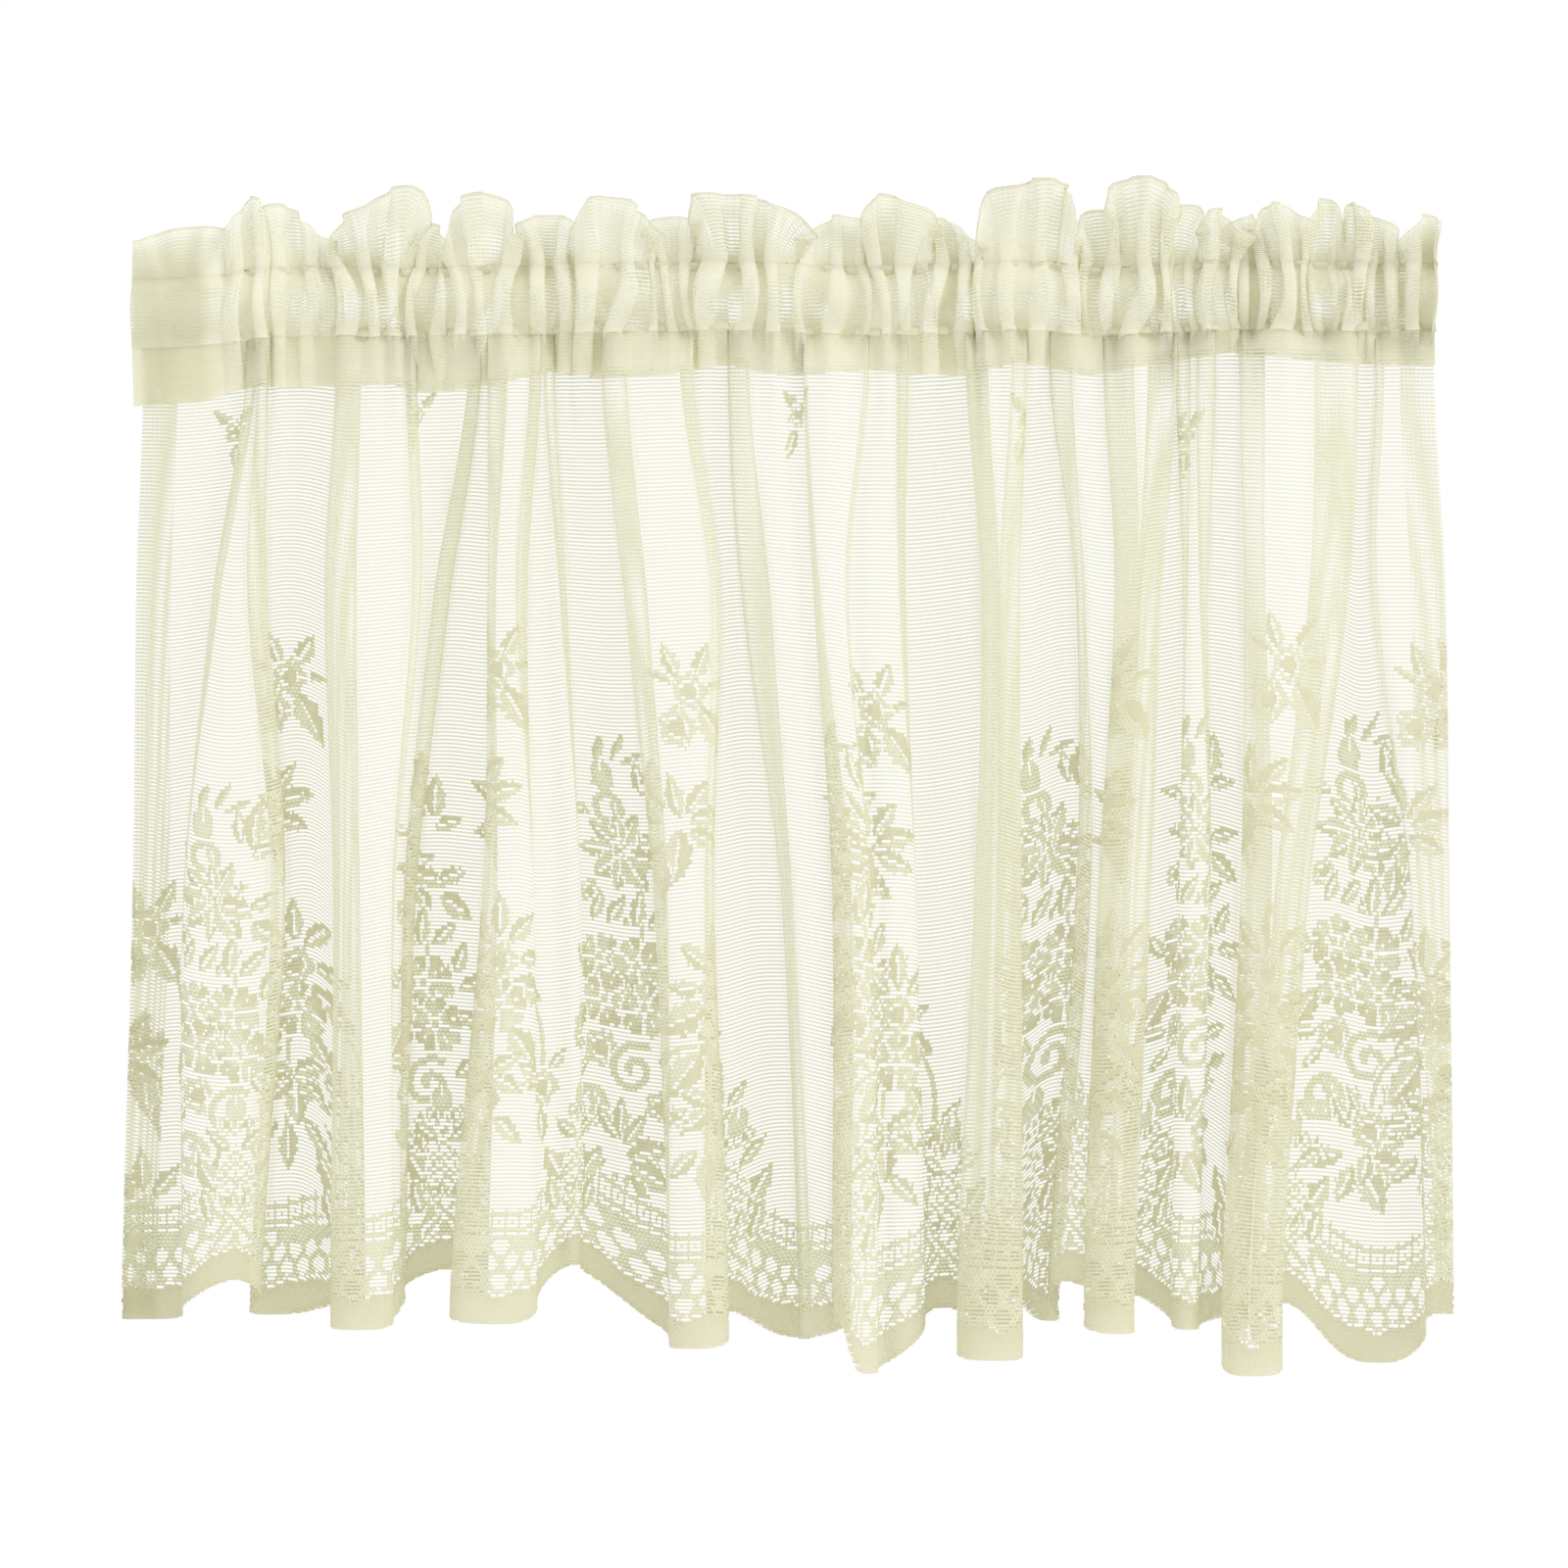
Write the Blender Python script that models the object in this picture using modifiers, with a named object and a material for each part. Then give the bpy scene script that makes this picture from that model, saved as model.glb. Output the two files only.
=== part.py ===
"""Lace valance, gathered on an empty rod pocket.

Metres, +Z up. The origin is on the rod pocket's axis, halfway along it. The front faces -Y.
The tables are in millimetres. x runs from left to right as seen from the front, and z is the
height over the pocket's axis. Depths are along Y, so a minus sign is nearer the viewer.
"""

import math
from collections import namedtuple

import bmesh
import bpy

MM = 0.001

# Heading
POCKET_HEIGHT = 36.0  # between the two seams
POCKET_HALF_DEPTH = 13.0
POCKET_ENDS = (-341.0, 339.0)
POCKET_GATHER = 0.2  # the pocket's waves, as a share of the frill's depth above them
POCKET_COLUMN_PITCH = 9.0
POCKET_FULLNESS = 0.7  # under 1, the section is fuller than an ellipse of this height
WALL_HEIGHTS = (-0.62, 0.0, 0.62)  # shares of half the pocket's height
FRILL_COLUMN_ROWS = (0.0, 0.35, 0.7, 1.0)

# Cloth
LACE_THICK = 1.2
FRILL_THICK = 1.8  # two layers of lace, pressed together
PIECE_GAP = 0.3
DROP_ROWS = (0.0, 0.05, 0.11, 0.19, 0.28, 0.38, 0.48, 0.58, 0.67, 0.76, 0.84, 0.91, 0.96, 1.0)
HEM_RETURN_GAP = 3.2  # between the panel and its turned side hem
HEM_TURN_RADIUS = 1.2
HEM_STATIONS = 4  # stations of a side hem's turn
PLEAT_STATIONS = 5
TURN_REACH = 0.3  # share of a fold's depth taken by each of its two turns
CREST_RADIUS = 3.0
STATION_PITCH = 15.0  # between stations on the cloth from one pleat to the next
BOW_SHARE = 0.14  # how far the cloth between two pleats bows, as a share of its width there
MOST_BOW = 4.5

# Heights of the four levels at which the folds are given
LEVELS = (-41.0, -151.0, -305.0, -526.0)
# Share of a fold's full depth at each level
DEPTH_SHARES = (0.62, 0.76, 0.94, 1.15)

# Each row is a pleat: the middle and the width of its three-layer overlap at the four levels, from
# the heading to the hem, and the depth of the cloth to its left. A pleat of no width is a wave.
Fold = namedtuple("Fold", "name middle width depth")
FOLDS = (
    Fold("left crease", (-279, -297, -314, -315), (5, 3.5, 0, 0), 10),
    Fold("left pleat", (-273, -276, -265, -277), (6, 11, 8, 7), -7),
    Fold("roll 1 left", (-228, -232, -229, -228), (13, 16, 13, 17), 12),
    Fold("roll 1 middle", (-195, -192, -204, -204), (6, 5.5, 2, 0), -16),
    Fold("roll 1 right", (-162, -179, -196, -200), (7, 9, 7, 3), 1),
    Fold("roll 2 left", (-150, -153, -154, -165), (10, 4, 7, 19), 15),
    Fold("wave 1", (-130, -137, -131, -129), (6, 6, 0, 0), -14),
    Fold("wave 2", (-123, -116, -107, -107), (6, 4, 0, 0), 0),
    Fold("wave 3", (-89, -78, -65, -60), (13, 12, 7, 0), 14),
    Fold("roll 3 right", (-51, -36, -39, -35), (7, 5.5, 5, 12), -14),
    Fold("back pleat", (-24, -15, 1, 11), (11, 15, 6, 7), 12),
    Fold("roll 4 left", (11, 17, 30, 30), (2, 3.5, 10, 10), -2),
    Fold("thin crease", (43, 33, 45, 49), (3, 2, 0, 0), -16),
    Fold("wave 4", (62, 62, 69, 74), (6, 3.5, 0, 0), -1),
    Fold("roll 5 left", (101, 108, 106, 99), (12, 10, 13, 17), 14),
    Fold("roll 5 right", (123, 118, 118, 116), (8, 11, 12, 17), -16),
    Fold("slant pleat", (145, 155, 157, 141), (12, 5, 8, 7), 10),
    Fold("roll 6 left", (175, 179, 171, 163), (16, 13, 14, 14), -4),
    Fold("roll 6 right", (198, 191, 185, 176), (15, 12, 13, 13), -18),
    Fold("wave 5", (209, 210, 207, 203), (8, 3, 0, 0), 8),
    Fold("wave 6", (221, 220, 223, 217), (10, 4.5, 0, 0), -6),
    Fold("roll 7 left", (245, 246, 247, 236), (14, 12, 17, 15), 10),
    Fold("roll 7 right", (289, 285, 266, 252), (22, 20, 17, 16), -16),
    Fold("right crease", (312, 309, 328, 336), (5, 4, 1.5, 1.5), 8),
)
LAST_DEPTH = -6.0  # to the right of the last pleat

# Outer edge and inner edge of each side hem at the four levels
LEFT_HEM = ((-336, -340, -342, -348), (-318, -322, -323, -330))
RIGHT_HEM = ((340, 346, 348, 350), (322, 328, 331, 341))

# The scalloped edge. Each row is the foot of a scallop or the notch after it, in turn: the fold that
# lies next to its left on the cloth, its place and its height. The first row is a foot.
NOTCH_SHARPNESS = 1.7  # over 1, a scallop is broad and its notch narrow
HemPoint = namedtuple("HemPoint", "after x height")
HEM_POINTS = (
    HemPoint("left hem", -333, -535),
    HemPoint("left crease", -286, -513),
    HemPoint("left pleat", -269, -533),
    HemPoint("left pleat", -224, -526),
    HemPoint("roll 1 left", -225, -538),
    HemPoint("roll 1 right", -178, -510),
    HemPoint("roll 2 left", -148, -535),
    HemPoint("wave 1", -110, -506),
    HemPoint("wave 3", -51, -548),
    HemPoint("roll 3 right", -32, -531),
    HemPoint("roll 3 right", 11, -545),
    HemPoint("roll 4 left", 28, -534),
    HemPoint("roll 4 left", 41, -561),
    HemPoint("wave 4", 82, -530),
    HemPoint("roll 5 left", 114, -554),
    HemPoint("roll 5 right", 118, -523),
    HemPoint("roll 5 right", 138, -536),
    HemPoint("slant pleat", 146, -514),
    HemPoint("roll 6 left", 179, -540),
    HemPoint("roll 6 right", 180, -522),
    HemPoint("wave 5", 214, -539),
    HemPoint("wave 6", 240, -533),
    HemPoint("roll 7 left", 244, -562),
    HemPoint("roll 7 right", 263, -527),
    HemPoint("roll 7 right", 312, -558),
    HemPoint("right crease", 342, -531),
)

# Each row is a loop of the frill: its ends along the top edge, the height of its crown, its depth
# there, and how much higher its right end is than its middle
Loop = namedtuple("Loop", "left right crown depth lean")
LOOPS = (
    Loop(-341, -293, 37, -1, 4),
    Loop(-292, -268, 51, -12, 5),
    Loop(-271, -237, 47, 7, -8),
    Loop(-234, -193, 53, -15, 11),
    Loop(-196, -176, 39, 8, -3),
    Loop(-179, -141, 54, -11, 2),
    Loop(-140, -111, 44, 10, 3),
    Loop(-111, -68, 53, -13, -4),
    Loop(-70, -44, 45, 11, 3),
    Loop(-46, 8, 54, -15, -5),
    Loop(9, 44, 44, 10, 3),
    Loop(42, 80, 54, -11, -3),
    Loop(79, 102, 42, 11, -7),
    Loop(102, 155, 61, -16, 1),
    Loop(156, 174, 46, 9, 4),
    Loop(174, 203, 62, -13, -3),
    Loop(199, 220, 49, 10, -4),
    Loop(216, 240, 45, -11, -6),
    Loop(236, 252, 45, 10, 1),
    Loop(248, 276, 50, -12, -4),
    Loop(272, 291, 54, 10, 1),
    Loop(288, 307, 51, -10, 1),
    Loop(304, 326, 44, 10, -7),
    Loop(324, 345, 43, -7, 5),
)
LOOP_SHOULDER = 7.0  # how far a loop's ends lie below its crown
LOOP_SHARES = (-0.85, -0.4, 0.1, 0.5, 0.85)
LOOP_NECK = 0.7  # a loop's width at the seam, as a share of its width on top
LOOP_ROUND = 0.4  # how much less deep a loop is at its ends, as a share of its depth
LOOP_BASE_DEPTH = 4.0
LOOP_FLARE = 1.6  # over 1, a loop widens most near its top
END_LOOP_DROP = 0.9  # where the first loop starts, as a share of the way to its end
FLANK_DIP = 3.0  # how far the cloth between two loops dips below their ends
FLANK_REACH = 1.5
FLANK_RISE = 1.0
FLANK_BASE_SHARE = 0.4
END_TUCK = 4.0  # how far the frill's right end is drawn in at the seam

# How far the heading hangs below its level line, at places along it
SagPoint = namedtuple("SagPoint", "x sag")
SEAM_SAG = (
    SagPoint(-341, 8.0),
    SagPoint(-305, 6.5),
    SagPoint(-262, 1.5),
    SagPoint(-205, 2.0),
    SagPoint(-140, 0.5),
    SagPoint(-30, -1.5),
    SagPoint(50, 1.0),
    SagPoint(125, -1.5),
    SagPoint(170, 1.0),
    SagPoint(235, -2.0),
    SagPoint(300, -1.0),
    SagPoint(344, -1.0),
)


def curve_at(places, values, place):
    """A smooth curve through the values at their places, held at its two ends."""
    if place <= places[0]:
        return values[0]
    if place >= places[-1]:
        return values[-1]
    index = max(i for i in range(len(places) - 1) if places[i] <= place)
    before = values[max(index - 1, 0)]
    after = values[min(index + 2, len(values) - 1)]
    low, high = values[index], values[index + 1]
    t = (place - places[index]) / (places[index + 1] - places[index])
    return 0.5 * (
        2 * low
        + (high - before) * t
        + (2 * before - 5 * low + 4 * high - after) * t**2
        + (3 * low - before - 3 * high + after) * t**3
    )


def at_level(values, z):
    """A fold's value at a height, from its four levels."""
    return curve_at([-level for level in LEVELS], values, -z)


def seam_sag(x):
    return curve_at([p.x for p in SEAM_SAG], [p.sag for p in SEAM_SAG], x)


def pleat(right, left, before, after):
    """The five stations of a pleat: the cloth turns at the right, runs back to the left, and turns
    again. before and after are its depths on the two sides."""
    step = after - before
    return [
        (right - CREST_RADIUS, before),
        (right, before + TURN_REACH * step),
        ((right + left) / 2, (before + after) / 2),
        (left, after - TURN_REACH * step),
        (left + CREST_RADIUS, after),
    ]


def bulged(start, end, count, bulge):
    """Evenly spaced stations between two others, without the two, bowed along Y by the bulge."""
    shares = [(i + 1) / (count + 1) for i in range(count)]
    return [
        (
            start[0] + (end[0] - start[0]) * share,
            start[1] + (end[1] - start[1]) * share + bulge * math.sin(math.pi * share),
        )
        for share in shares
    ]


def panel_counts():
    """How many stations lie between one pleat and the next, from the cloth's width there."""
    edges = [LEFT_HEM[0][-1]]
    for fold in FOLDS:
        edges += [fold.middle[-1] + fold.width[-1] / 2, fold.middle[-1] - fold.width[-1] / 2]
    edges.append(RIGHT_HEM[0][-1])
    widths = [right - left for left, right in zip(edges[::2], edges[1::2])]
    return [max(1, round(width / STATION_PITCH)) for width in widths]


def bow(start, end, depth, share):
    """How far the cloth between two pleats bows to the front or the back."""
    most = BOW_SHARE * (end[0] - start[0])
    return math.copysign(min(max(most, 0.0), MOST_BOW), depth) * share


def panel_stations(z):
    """The panel's cross-section at a height, as (x, y) stations from the left hem to the right."""
    share = at_level(DEPTH_SHARES, z)
    depths = [fold.depth * share for fold in FOLDS] + [LAST_DEPTH * share]
    counts = panel_counts()
    outer, inner = (at_level(edge, z) for edge in LEFT_HEM)
    back = depths[0] + HEM_RETURN_GAP
    stations = [
        (inner, back),
        (outer + HEM_TURN_RADIUS, back),
        (outer, (back + depths[0]) / 2),
        (outer + HEM_TURN_RADIUS, depths[0]),
    ]
    for fold, count, before, after in zip(FOLDS, counts, depths, depths[1:]):
        middle = at_level(fold.middle, z)
        half = at_level(fold.width, z) / 2
        turned = pleat(middle + half, middle - half, before, after)
        start = stations[-1]
        bulge = 0.0 if fold is FOLDS[0] else bow(start, turned[0], before, share)
        stations += bulged(start, turned[0], count, bulge) + turned
    outer, inner = (at_level(edge, z) for edge in RIGHT_HEM)
    front = depths[-1]
    back = front + HEM_RETURN_GAP
    turned = [
        (outer - HEM_TURN_RADIUS, front),
        (outer, (front + back) / 2),
        (outer - HEM_TURN_RADIUS, back),
        (inner, back),
    ]
    return stations + bulged(stations[-1], turned[0], counts[-1], 0.0) + turned


def lengths_along(stations):
    """The distance along a cross-section to each of its stations, as shares of the whole."""
    total = 0.0
    found = [0.0]
    for start, end in zip(stations, stations[1:]):
        total += math.dist(start, end)
        found.append(total)
    return [length / total for length in found]


def stretch_after(name):
    """The numbers of the first and last station of the cloth between a fold and the next."""
    counts = panel_counts()
    index = [fold.name for fold in FOLDS].index(name) + 1 if name != "left hem" else 0
    first = HEM_STATIONS - 1 + sum(counts[:index]) + PLEAT_STATIONS * index
    return first, first + counts[index] + 1


def hem_marks(hem, shares):
    """The hem's points, as (share of the cloth's width, height)."""
    marks = []
    for point in HEM_POINTS:
        first, last = stretch_after(point.after)
        low, high = hem[first][0], hem[last][0]
        part = min(max((point.x - low) / (high - low), 0.0), 1.0)
        marks.append((shares[first] + part * (shares[last] - shares[first]), point.height))
    return marks


def hem_height(share, marks):
    """The height of the scalloped edge, at a share of the cloth's width."""
    if share <= marks[0][0] or share >= marks[-1][0]:
        return marks[0][1] if share <= marks[0][0] else marks[-1][1]
    index = max(i for i, mark in enumerate(marks) if mark[0] < share)
    foot, notch = sorted(marks[index : index + 2], key=lambda mark: mark[1])
    part = (share - foot[0]) / (notch[0] - foot[0])
    rise = ((1 - math.cos(math.pi * part)) / 2) ** NOTCH_SHARPNESS
    return foot[1] + (notch[1] - foot[1]) * rise


def sheet_object(name, columns, rows, place, thick, material):
    """A grid of cloth whose point at each column and row is moved to place(column, row), thickened."""
    mesh = bpy.data.meshes.new(name)
    grid = bmesh.new()
    bmesh.ops.create_grid(grid, x_segments=columns - 1, y_segments=rows - 1, size=0.5)
    for vert in grid.verts:
        column = round((vert.co.x + 0.5) * (columns - 1))
        row = round((0.5 - vert.co.y) * (rows - 1))
        vert.co = [value * MM for value in place(column, row)]
    grid.to_mesh(mesh)
    grid.free()
    return cloth_object(name, mesh, thick, material)


def cloth_object(name, mesh, thick, material):
    mesh.materials.append(material)
    mesh.shade_smooth()
    cloth = bpy.data.objects.new(name, mesh)
    solidify = cloth.modifiers.new("cloth thickness", "SOLIDIFY")
    solidify.thickness = thick * MM
    solidify.offset = 0.0
    solidify.use_even_offset = False
    return cloth


def make_panel(material):
    """The gathered panel, with its pleats, side hems and scalloped edge."""
    top = -POCKET_HEIGHT / 2 - PIECE_GAP - LACE_THICK / 2
    hem = panel_stations(LEVELS[-1])
    shares = lengths_along(hem)
    marks = hem_marks(hem, shares)
    hem_heights = [hem_height(share, marks) for share in shares]
    columns = len(hem)

    def place(column, row):
        drop = DROP_ROWS[row]
        x = panel_stations(top)[column][0]
        start = top - seam_sag(x)
        z = start + (hem_heights[column] - start) * drop
        x, y = panel_stations(z)[column]
        return x, y, z

    return sheet_object("lace_panel", columns, len(DROP_ROWS), place, LACE_THICK, material)


def pocket_ring(x):
    """The pocket's closed section at a place along it, from the lower seam up the front."""
    half = POCKET_HEIGHT / 2
    places = [(loop.left + loop.right) / 2 for loop in LOOPS]
    gather = POCKET_GATHER * curve_at(places, [loop.depth for loop in LOOPS], x)
    ring = [(gather, -half)]
    for side, heights in ((-1, WALL_HEIGHTS), (1, WALL_HEIGHTS[::-1])):
        for share in heights:
            bulge = POCKET_HALF_DEPTH * (1 - share**2) ** POCKET_FULLNESS
            ring.append((side * bulge + gather, share * half))
        ring.append((gather, half * -side))
    return ring[:-1]


def make_pocket(material):
    """The sleeve for the rod, open at both ends."""
    mesh = bpy.data.meshes.new("rod_pocket")
    sleeve = bmesh.new()
    sides = len(pocket_ring(0.0))
    left, right = POCKET_ENDS
    columns = round((right - left) / POCKET_COLUMN_PITCH)
    bmesh.ops.create_cone(
        sleeve, cap_ends=False, segments=sides, radius1=1.0, radius2=1.0, depth=1.0
    )
    bmesh.ops.subdivide_edges(
        sleeve,
        edges=[e for e in sleeve.edges if abs(e.verts[0].co.z - e.verts[1].co.z) > 0.5],
        cuts=columns - 1,
        use_grid_fill=True,
    )
    for vert in sleeve.verts:
        x = left + (right - left) * (vert.co.z + 0.5)
        turn = math.atan2(vert.co.y, vert.co.x) / (2 * math.pi)
        y, z = pocket_ring(x)[round(turn * sides) % sides]
        vert.co = (x * MM, y * MM, (z - seam_sag(x)) * MM)
    bmesh.ops.recalc_face_normals(sleeve, faces=sleeve.faces)
    sleeve.to_mesh(mesh)
    sleeve.free()
    return cloth_object("rod_pocket", mesh, LACE_THICK, material)


def loop_height(loop, share):
    return loop.crown - LOOP_SHOULDER * share**2 + loop.lean * share


def loop_base(loop):
    return math.copysign(LOOP_BASE_DEPTH, loop.depth)


def loop_stations(loop):
    """A loop's stations, as (x at the seam, y there, x on top, y on top, z on top)."""
    middle = (loop.left + loop.right) / 2
    half = (loop.right - loop.left) / 2
    return [
        (
            middle + LOOP_NECK * half * share,
            loop_base(loop),
            middle + half * share,
            loop.depth * (1 - LOOP_ROUND * share**2),
            loop_height(loop, share),
        )
        for share in LOOP_SHARES
    ]


def flank_stations(before, after):
    """The cloth between two loops, where it turns back behind the nearer one."""
    base = (before.right + after.left) / 2
    reach = TURN_REACH * (after.depth - before.depth)
    dip = min(loop_height(before, 1.0), loop_height(after, -1.0)) - FLANK_DIP
    return [
        (
            base - FLANK_REACH,
            FLANK_BASE_SHARE * loop_base(before),
            before.right + FLANK_REACH,
            before.depth + reach,
            dip + FLANK_RISE,
        ),
        (base, 0.0, base, (before.depth + after.depth) / 2, dip),
        (
            base + FLANK_REACH,
            FLANK_BASE_SHARE * loop_base(after),
            after.left - FLANK_REACH,
            after.depth - reach,
            dip + FLANK_RISE,
        ),
    ]


def frill_stations():
    first, last = LOOPS[0], LOOPS[-1]
    start_height = loop_height(first, -END_LOOP_DROP)
    stations = [(first.left, loop_base(first), first.left, first.depth, start_height)]
    stations += loop_stations(first)
    for before, after in zip(LOOPS, LOOPS[1:]):
        stations += flank_stations(before, after) + loop_stations(after)
    end_height = loop_height(last, 1.0)
    end = last.right - END_TUCK
    return stations + [(end, loop_base(last), last.right, last.depth, end_height)]


def make_frill(material):
    """The doubled cloth that stands over the upper seam in uneven loops."""
    stations = frill_stations()
    bottom = POCKET_HEIGHT / 2 + PIECE_GAP + LACE_THICK / 2

    def place(column, row):
        base_x, base_y, top_x, top_y, top_z = stations[column]
        share = FRILL_COLUMN_ROWS[row]
        flare = share**LOOP_FLARE
        x = base_x + (top_x - base_x) * flare
        y = base_y + (top_y - base_y) * flare
        z = bottom - seam_sag(base_x) * (1 - share)
        return x, y, z + (top_z - bottom) * share

    return sheet_object(
        "header_frill", len(stations), len(FRILL_COLUMN_ROWS), place, FRILL_THICK, material
    )


def lace_material(name, colour):
    material = bpy.data.materials.new(name)
    material.use_nodes = True
    shader = material.node_tree.nodes["Principled BSDF"]
    shader.inputs["Base Color"].default_value = (*colour, 1.0)
    shader.inputs["Roughness"].default_value = 0.85
    shader.inputs["Metallic"].default_value = 0.0
    return material


def main():
    for old in list(bpy.data.objects):
        bpy.data.objects.remove(old)
    valance = bpy.data.collections.new("lace valance")
    bpy.context.scene.collection.children.link(valance)
    sheer = lace_material("ivory lace", (0.76, 0.75, 0.58))
    doubled = lace_material("ivory lace, doubled", (0.72, 0.71, 0.52))
    for piece in (make_panel(sheer), make_pocket(doubled), make_frill(doubled)):
        valance.objects.link(piece)


main()
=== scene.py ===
"""Looks of the lace valance: gathered ivory net with woven flowers over a scalloped border.

The tables are in millimetres, as in the construction: x runs from left to right as seen from the
front, z is the height over the rod pocket's axis, and depths are along Y, minus nearer the viewer.
On the flat lace, u runs along its width and v is the height over the feet of the scallops.
"""

import math
from collections import namedtuple

import bpy
import numpy as np
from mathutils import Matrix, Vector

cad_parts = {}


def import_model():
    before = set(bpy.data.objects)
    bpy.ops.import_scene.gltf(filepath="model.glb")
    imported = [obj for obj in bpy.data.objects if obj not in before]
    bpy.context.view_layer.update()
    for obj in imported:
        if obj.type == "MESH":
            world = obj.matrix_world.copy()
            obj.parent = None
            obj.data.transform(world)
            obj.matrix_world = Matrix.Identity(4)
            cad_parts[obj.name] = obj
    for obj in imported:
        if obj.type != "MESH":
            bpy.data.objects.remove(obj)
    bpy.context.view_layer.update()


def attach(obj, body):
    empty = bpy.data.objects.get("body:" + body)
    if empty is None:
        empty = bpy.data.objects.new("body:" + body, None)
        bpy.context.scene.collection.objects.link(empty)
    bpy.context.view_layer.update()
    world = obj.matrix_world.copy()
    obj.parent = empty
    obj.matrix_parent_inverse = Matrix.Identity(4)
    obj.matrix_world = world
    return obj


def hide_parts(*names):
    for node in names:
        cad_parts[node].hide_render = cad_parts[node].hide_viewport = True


MM = 0.001


def table(columns, *rows):
    """Rows whose values have the columns' names."""
    row_kind = namedtuple("Row", columns)
    return tuple(row_kind(*row) for row in rows)


# Photograph and camera
PHOTO_SIDE = 1600  # pixels
PIXEL = 0.513  # millimetres of the valance
POCKET_PIXEL_ROW = 305  # the pixel row of the pocket's axis
LENS = 153.5
SENSOR = 36.0
CAMERA_REACH = 20.0  # metres

# Heading
POCKET_HEIGHT = 36.0
POCKET_HALF_DEPTH = 11.0

# Flat lace
FLAT_WIDTH = 1450.0
PANEL_DROP = 530.0  # from the lower seam to the feet of the scallops
SCALLOP_PITCH = 120.0
SCALLOP_DEPTH = 28.0
COURSE = 2.04  # height of a row of the lace
WALE = 1.2  # width of a stitch
THREAD_WAVE = 0.3  # twice the height of the thread's waves, as a share of a row

# Folds
HEM_RETURN_GAP = 3.2
HEM_TURN_RADIUS = 1.2
HEM_STATIONS = 4  # of a side hem
PLEAT_STATIONS = 5
TURN_REACH = 0.3  # how far a pleat has run back at its edges, as a share of its step
CREST_RADIUS = 3.0
STATION_PITCH = 15.0
BOW_SHARE = 0.14  # how far the cloth between two pleats bows, as a share of its width there
MOST_BOW = 4.5
LEVELS = (-41.0, -151.0, -305.0, -526.0)  # heights at which the folds are given
DEPTH_SHARES = (0.62, 0.76, 0.94, 1.15)  # of the folds' depths, at the four levels
COLUMN_PITCH = 3.0  # of the sheet's mesh
SHEET_ROWS = 120
LEVEL_PITCH = 5.0
LEVEL_MARGIN = (45.0, 25.0)  # how far the levels go on below the hem and over the seam

# Each row is a pleat: the middle and the width of its three-layer overlap at the four levels, from
# the heading to the hem, and the depth of the cloth to its left. A pleat of no width is a wave.
FOLDS = table(
    "name middle width depth",
    ("left crease", (-279, -297, -314, -315), (5, 3.5, 0, 0), 10),
    ("left pleat", (-273, -276, -265, -277), (6, 11, 8, 7), -7),
    ("roll 1 left", (-228, -232, -229, -228), (13, 16, 13, 17), 12),
    ("roll 1 middle", (-195, -192, -204, -204), (6, 5.5, 2, 0), -16),
    ("roll 1 right", (-162, -179, -196, -200), (7, 9, 7, 3), 1),
    ("roll 2 left", (-150, -153, -154, -165), (10, 4, 7, 19), 15),
    ("wave 1", (-130, -137, -131, -129), (6, 6, 0, 0), -14),
    ("wave 2", (-123, -116, -107, -107), (6, 4, 0, 0), 0),
    ("wave 3", (-89, -78, -65, -60), (13, 12, 7, 0), 14),
    ("roll 3 right", (-51, -36, -39, -35), (7, 5.5, 5, 12), -14),
    ("back pleat", (-24, -15, 1, 11), (11, 15, 6, 7), 12),
    ("roll 4 left", (11, 17, 30, 30), (2, 3.5, 10, 10), -2),
    ("thin crease", (43, 33, 45, 49), (3, 2, 0, 0), -16),
    ("wave 4", (62, 62, 69, 74), (6, 3.5, 0, 0), -1),
    ("roll 5 left", (101, 108, 106, 99), (12, 10, 13, 17), 14),
    ("roll 5 right", (123, 118, 118, 116), (8, 11, 12, 17), -16),
    ("slant pleat", (145, 155, 157, 141), (12, 5, 8, 7), 10),
    ("roll 6 left", (175, 179, 171, 163), (16, 13, 14, 14), -4),
    ("roll 6 right", (198, 191, 185, 176), (15, 12, 13, 13), -18),
    ("wave 5", (209, 210, 207, 203), (8, 3, 0, 0), 8),
    ("wave 6", (221, 220, 223, 217), (10, 4.5, 0, 0), -6),
    ("roll 7 left", (245, 246, 247, 236), (14, 12, 17, 15), 10),
    ("roll 7 right", (289, 285, 266, 252), (22, 20, 17, 16), -16),
    ("right crease", (312, 309, 328, 336), (5, 4, 1.5, 1.5), 8),
)
LAST_DEPTH = -6.0
LEFT_HEM = ((-336, -340, -342, -348), (-318, -322, -323, -330))
RIGHT_HEM = ((340, 346, 348, 350), (322, 328, 331, 341))

# The foot of each scallop and the notch after it, in turn: the fold that lies next to its left on
# the cloth, its place and its height. The first row is a foot.
NOTCH_SHARPNESS = 1.7
HEM_POINTS = table(
    "after x height",
    ("left hem", -333, -535), ("left crease", -286, -513), ("left pleat", -269, -533),
    ("left pleat", -224, -526), ("roll 1 left", -225, -538), ("roll 1 right", -178, -510),
    ("roll 2 left", -148, -535), ("wave 1", -110, -506), ("wave 3", -51, -548),
    ("roll 3 right", -32, -531), ("roll 3 right", 11, -545), ("roll 4 left", 28, -534),
    ("roll 4 left", 41, -561), ("wave 4", 82, -530), ("roll 5 left", 114, -554),
    ("roll 5 right", 118, -523), ("roll 5 right", 138, -536), ("slant pleat", 146, -514),
    ("roll 6 left", 179, -540), ("roll 6 right", 180, -522), ("wave 5", 214, -539),
    ("wave 6", 240, -533), ("roll 7 left", 244, -562), ("roll 7 right", 263, -527),
    ("roll 7 right", 312, -558), ("right crease", 342, -531),
)

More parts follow.
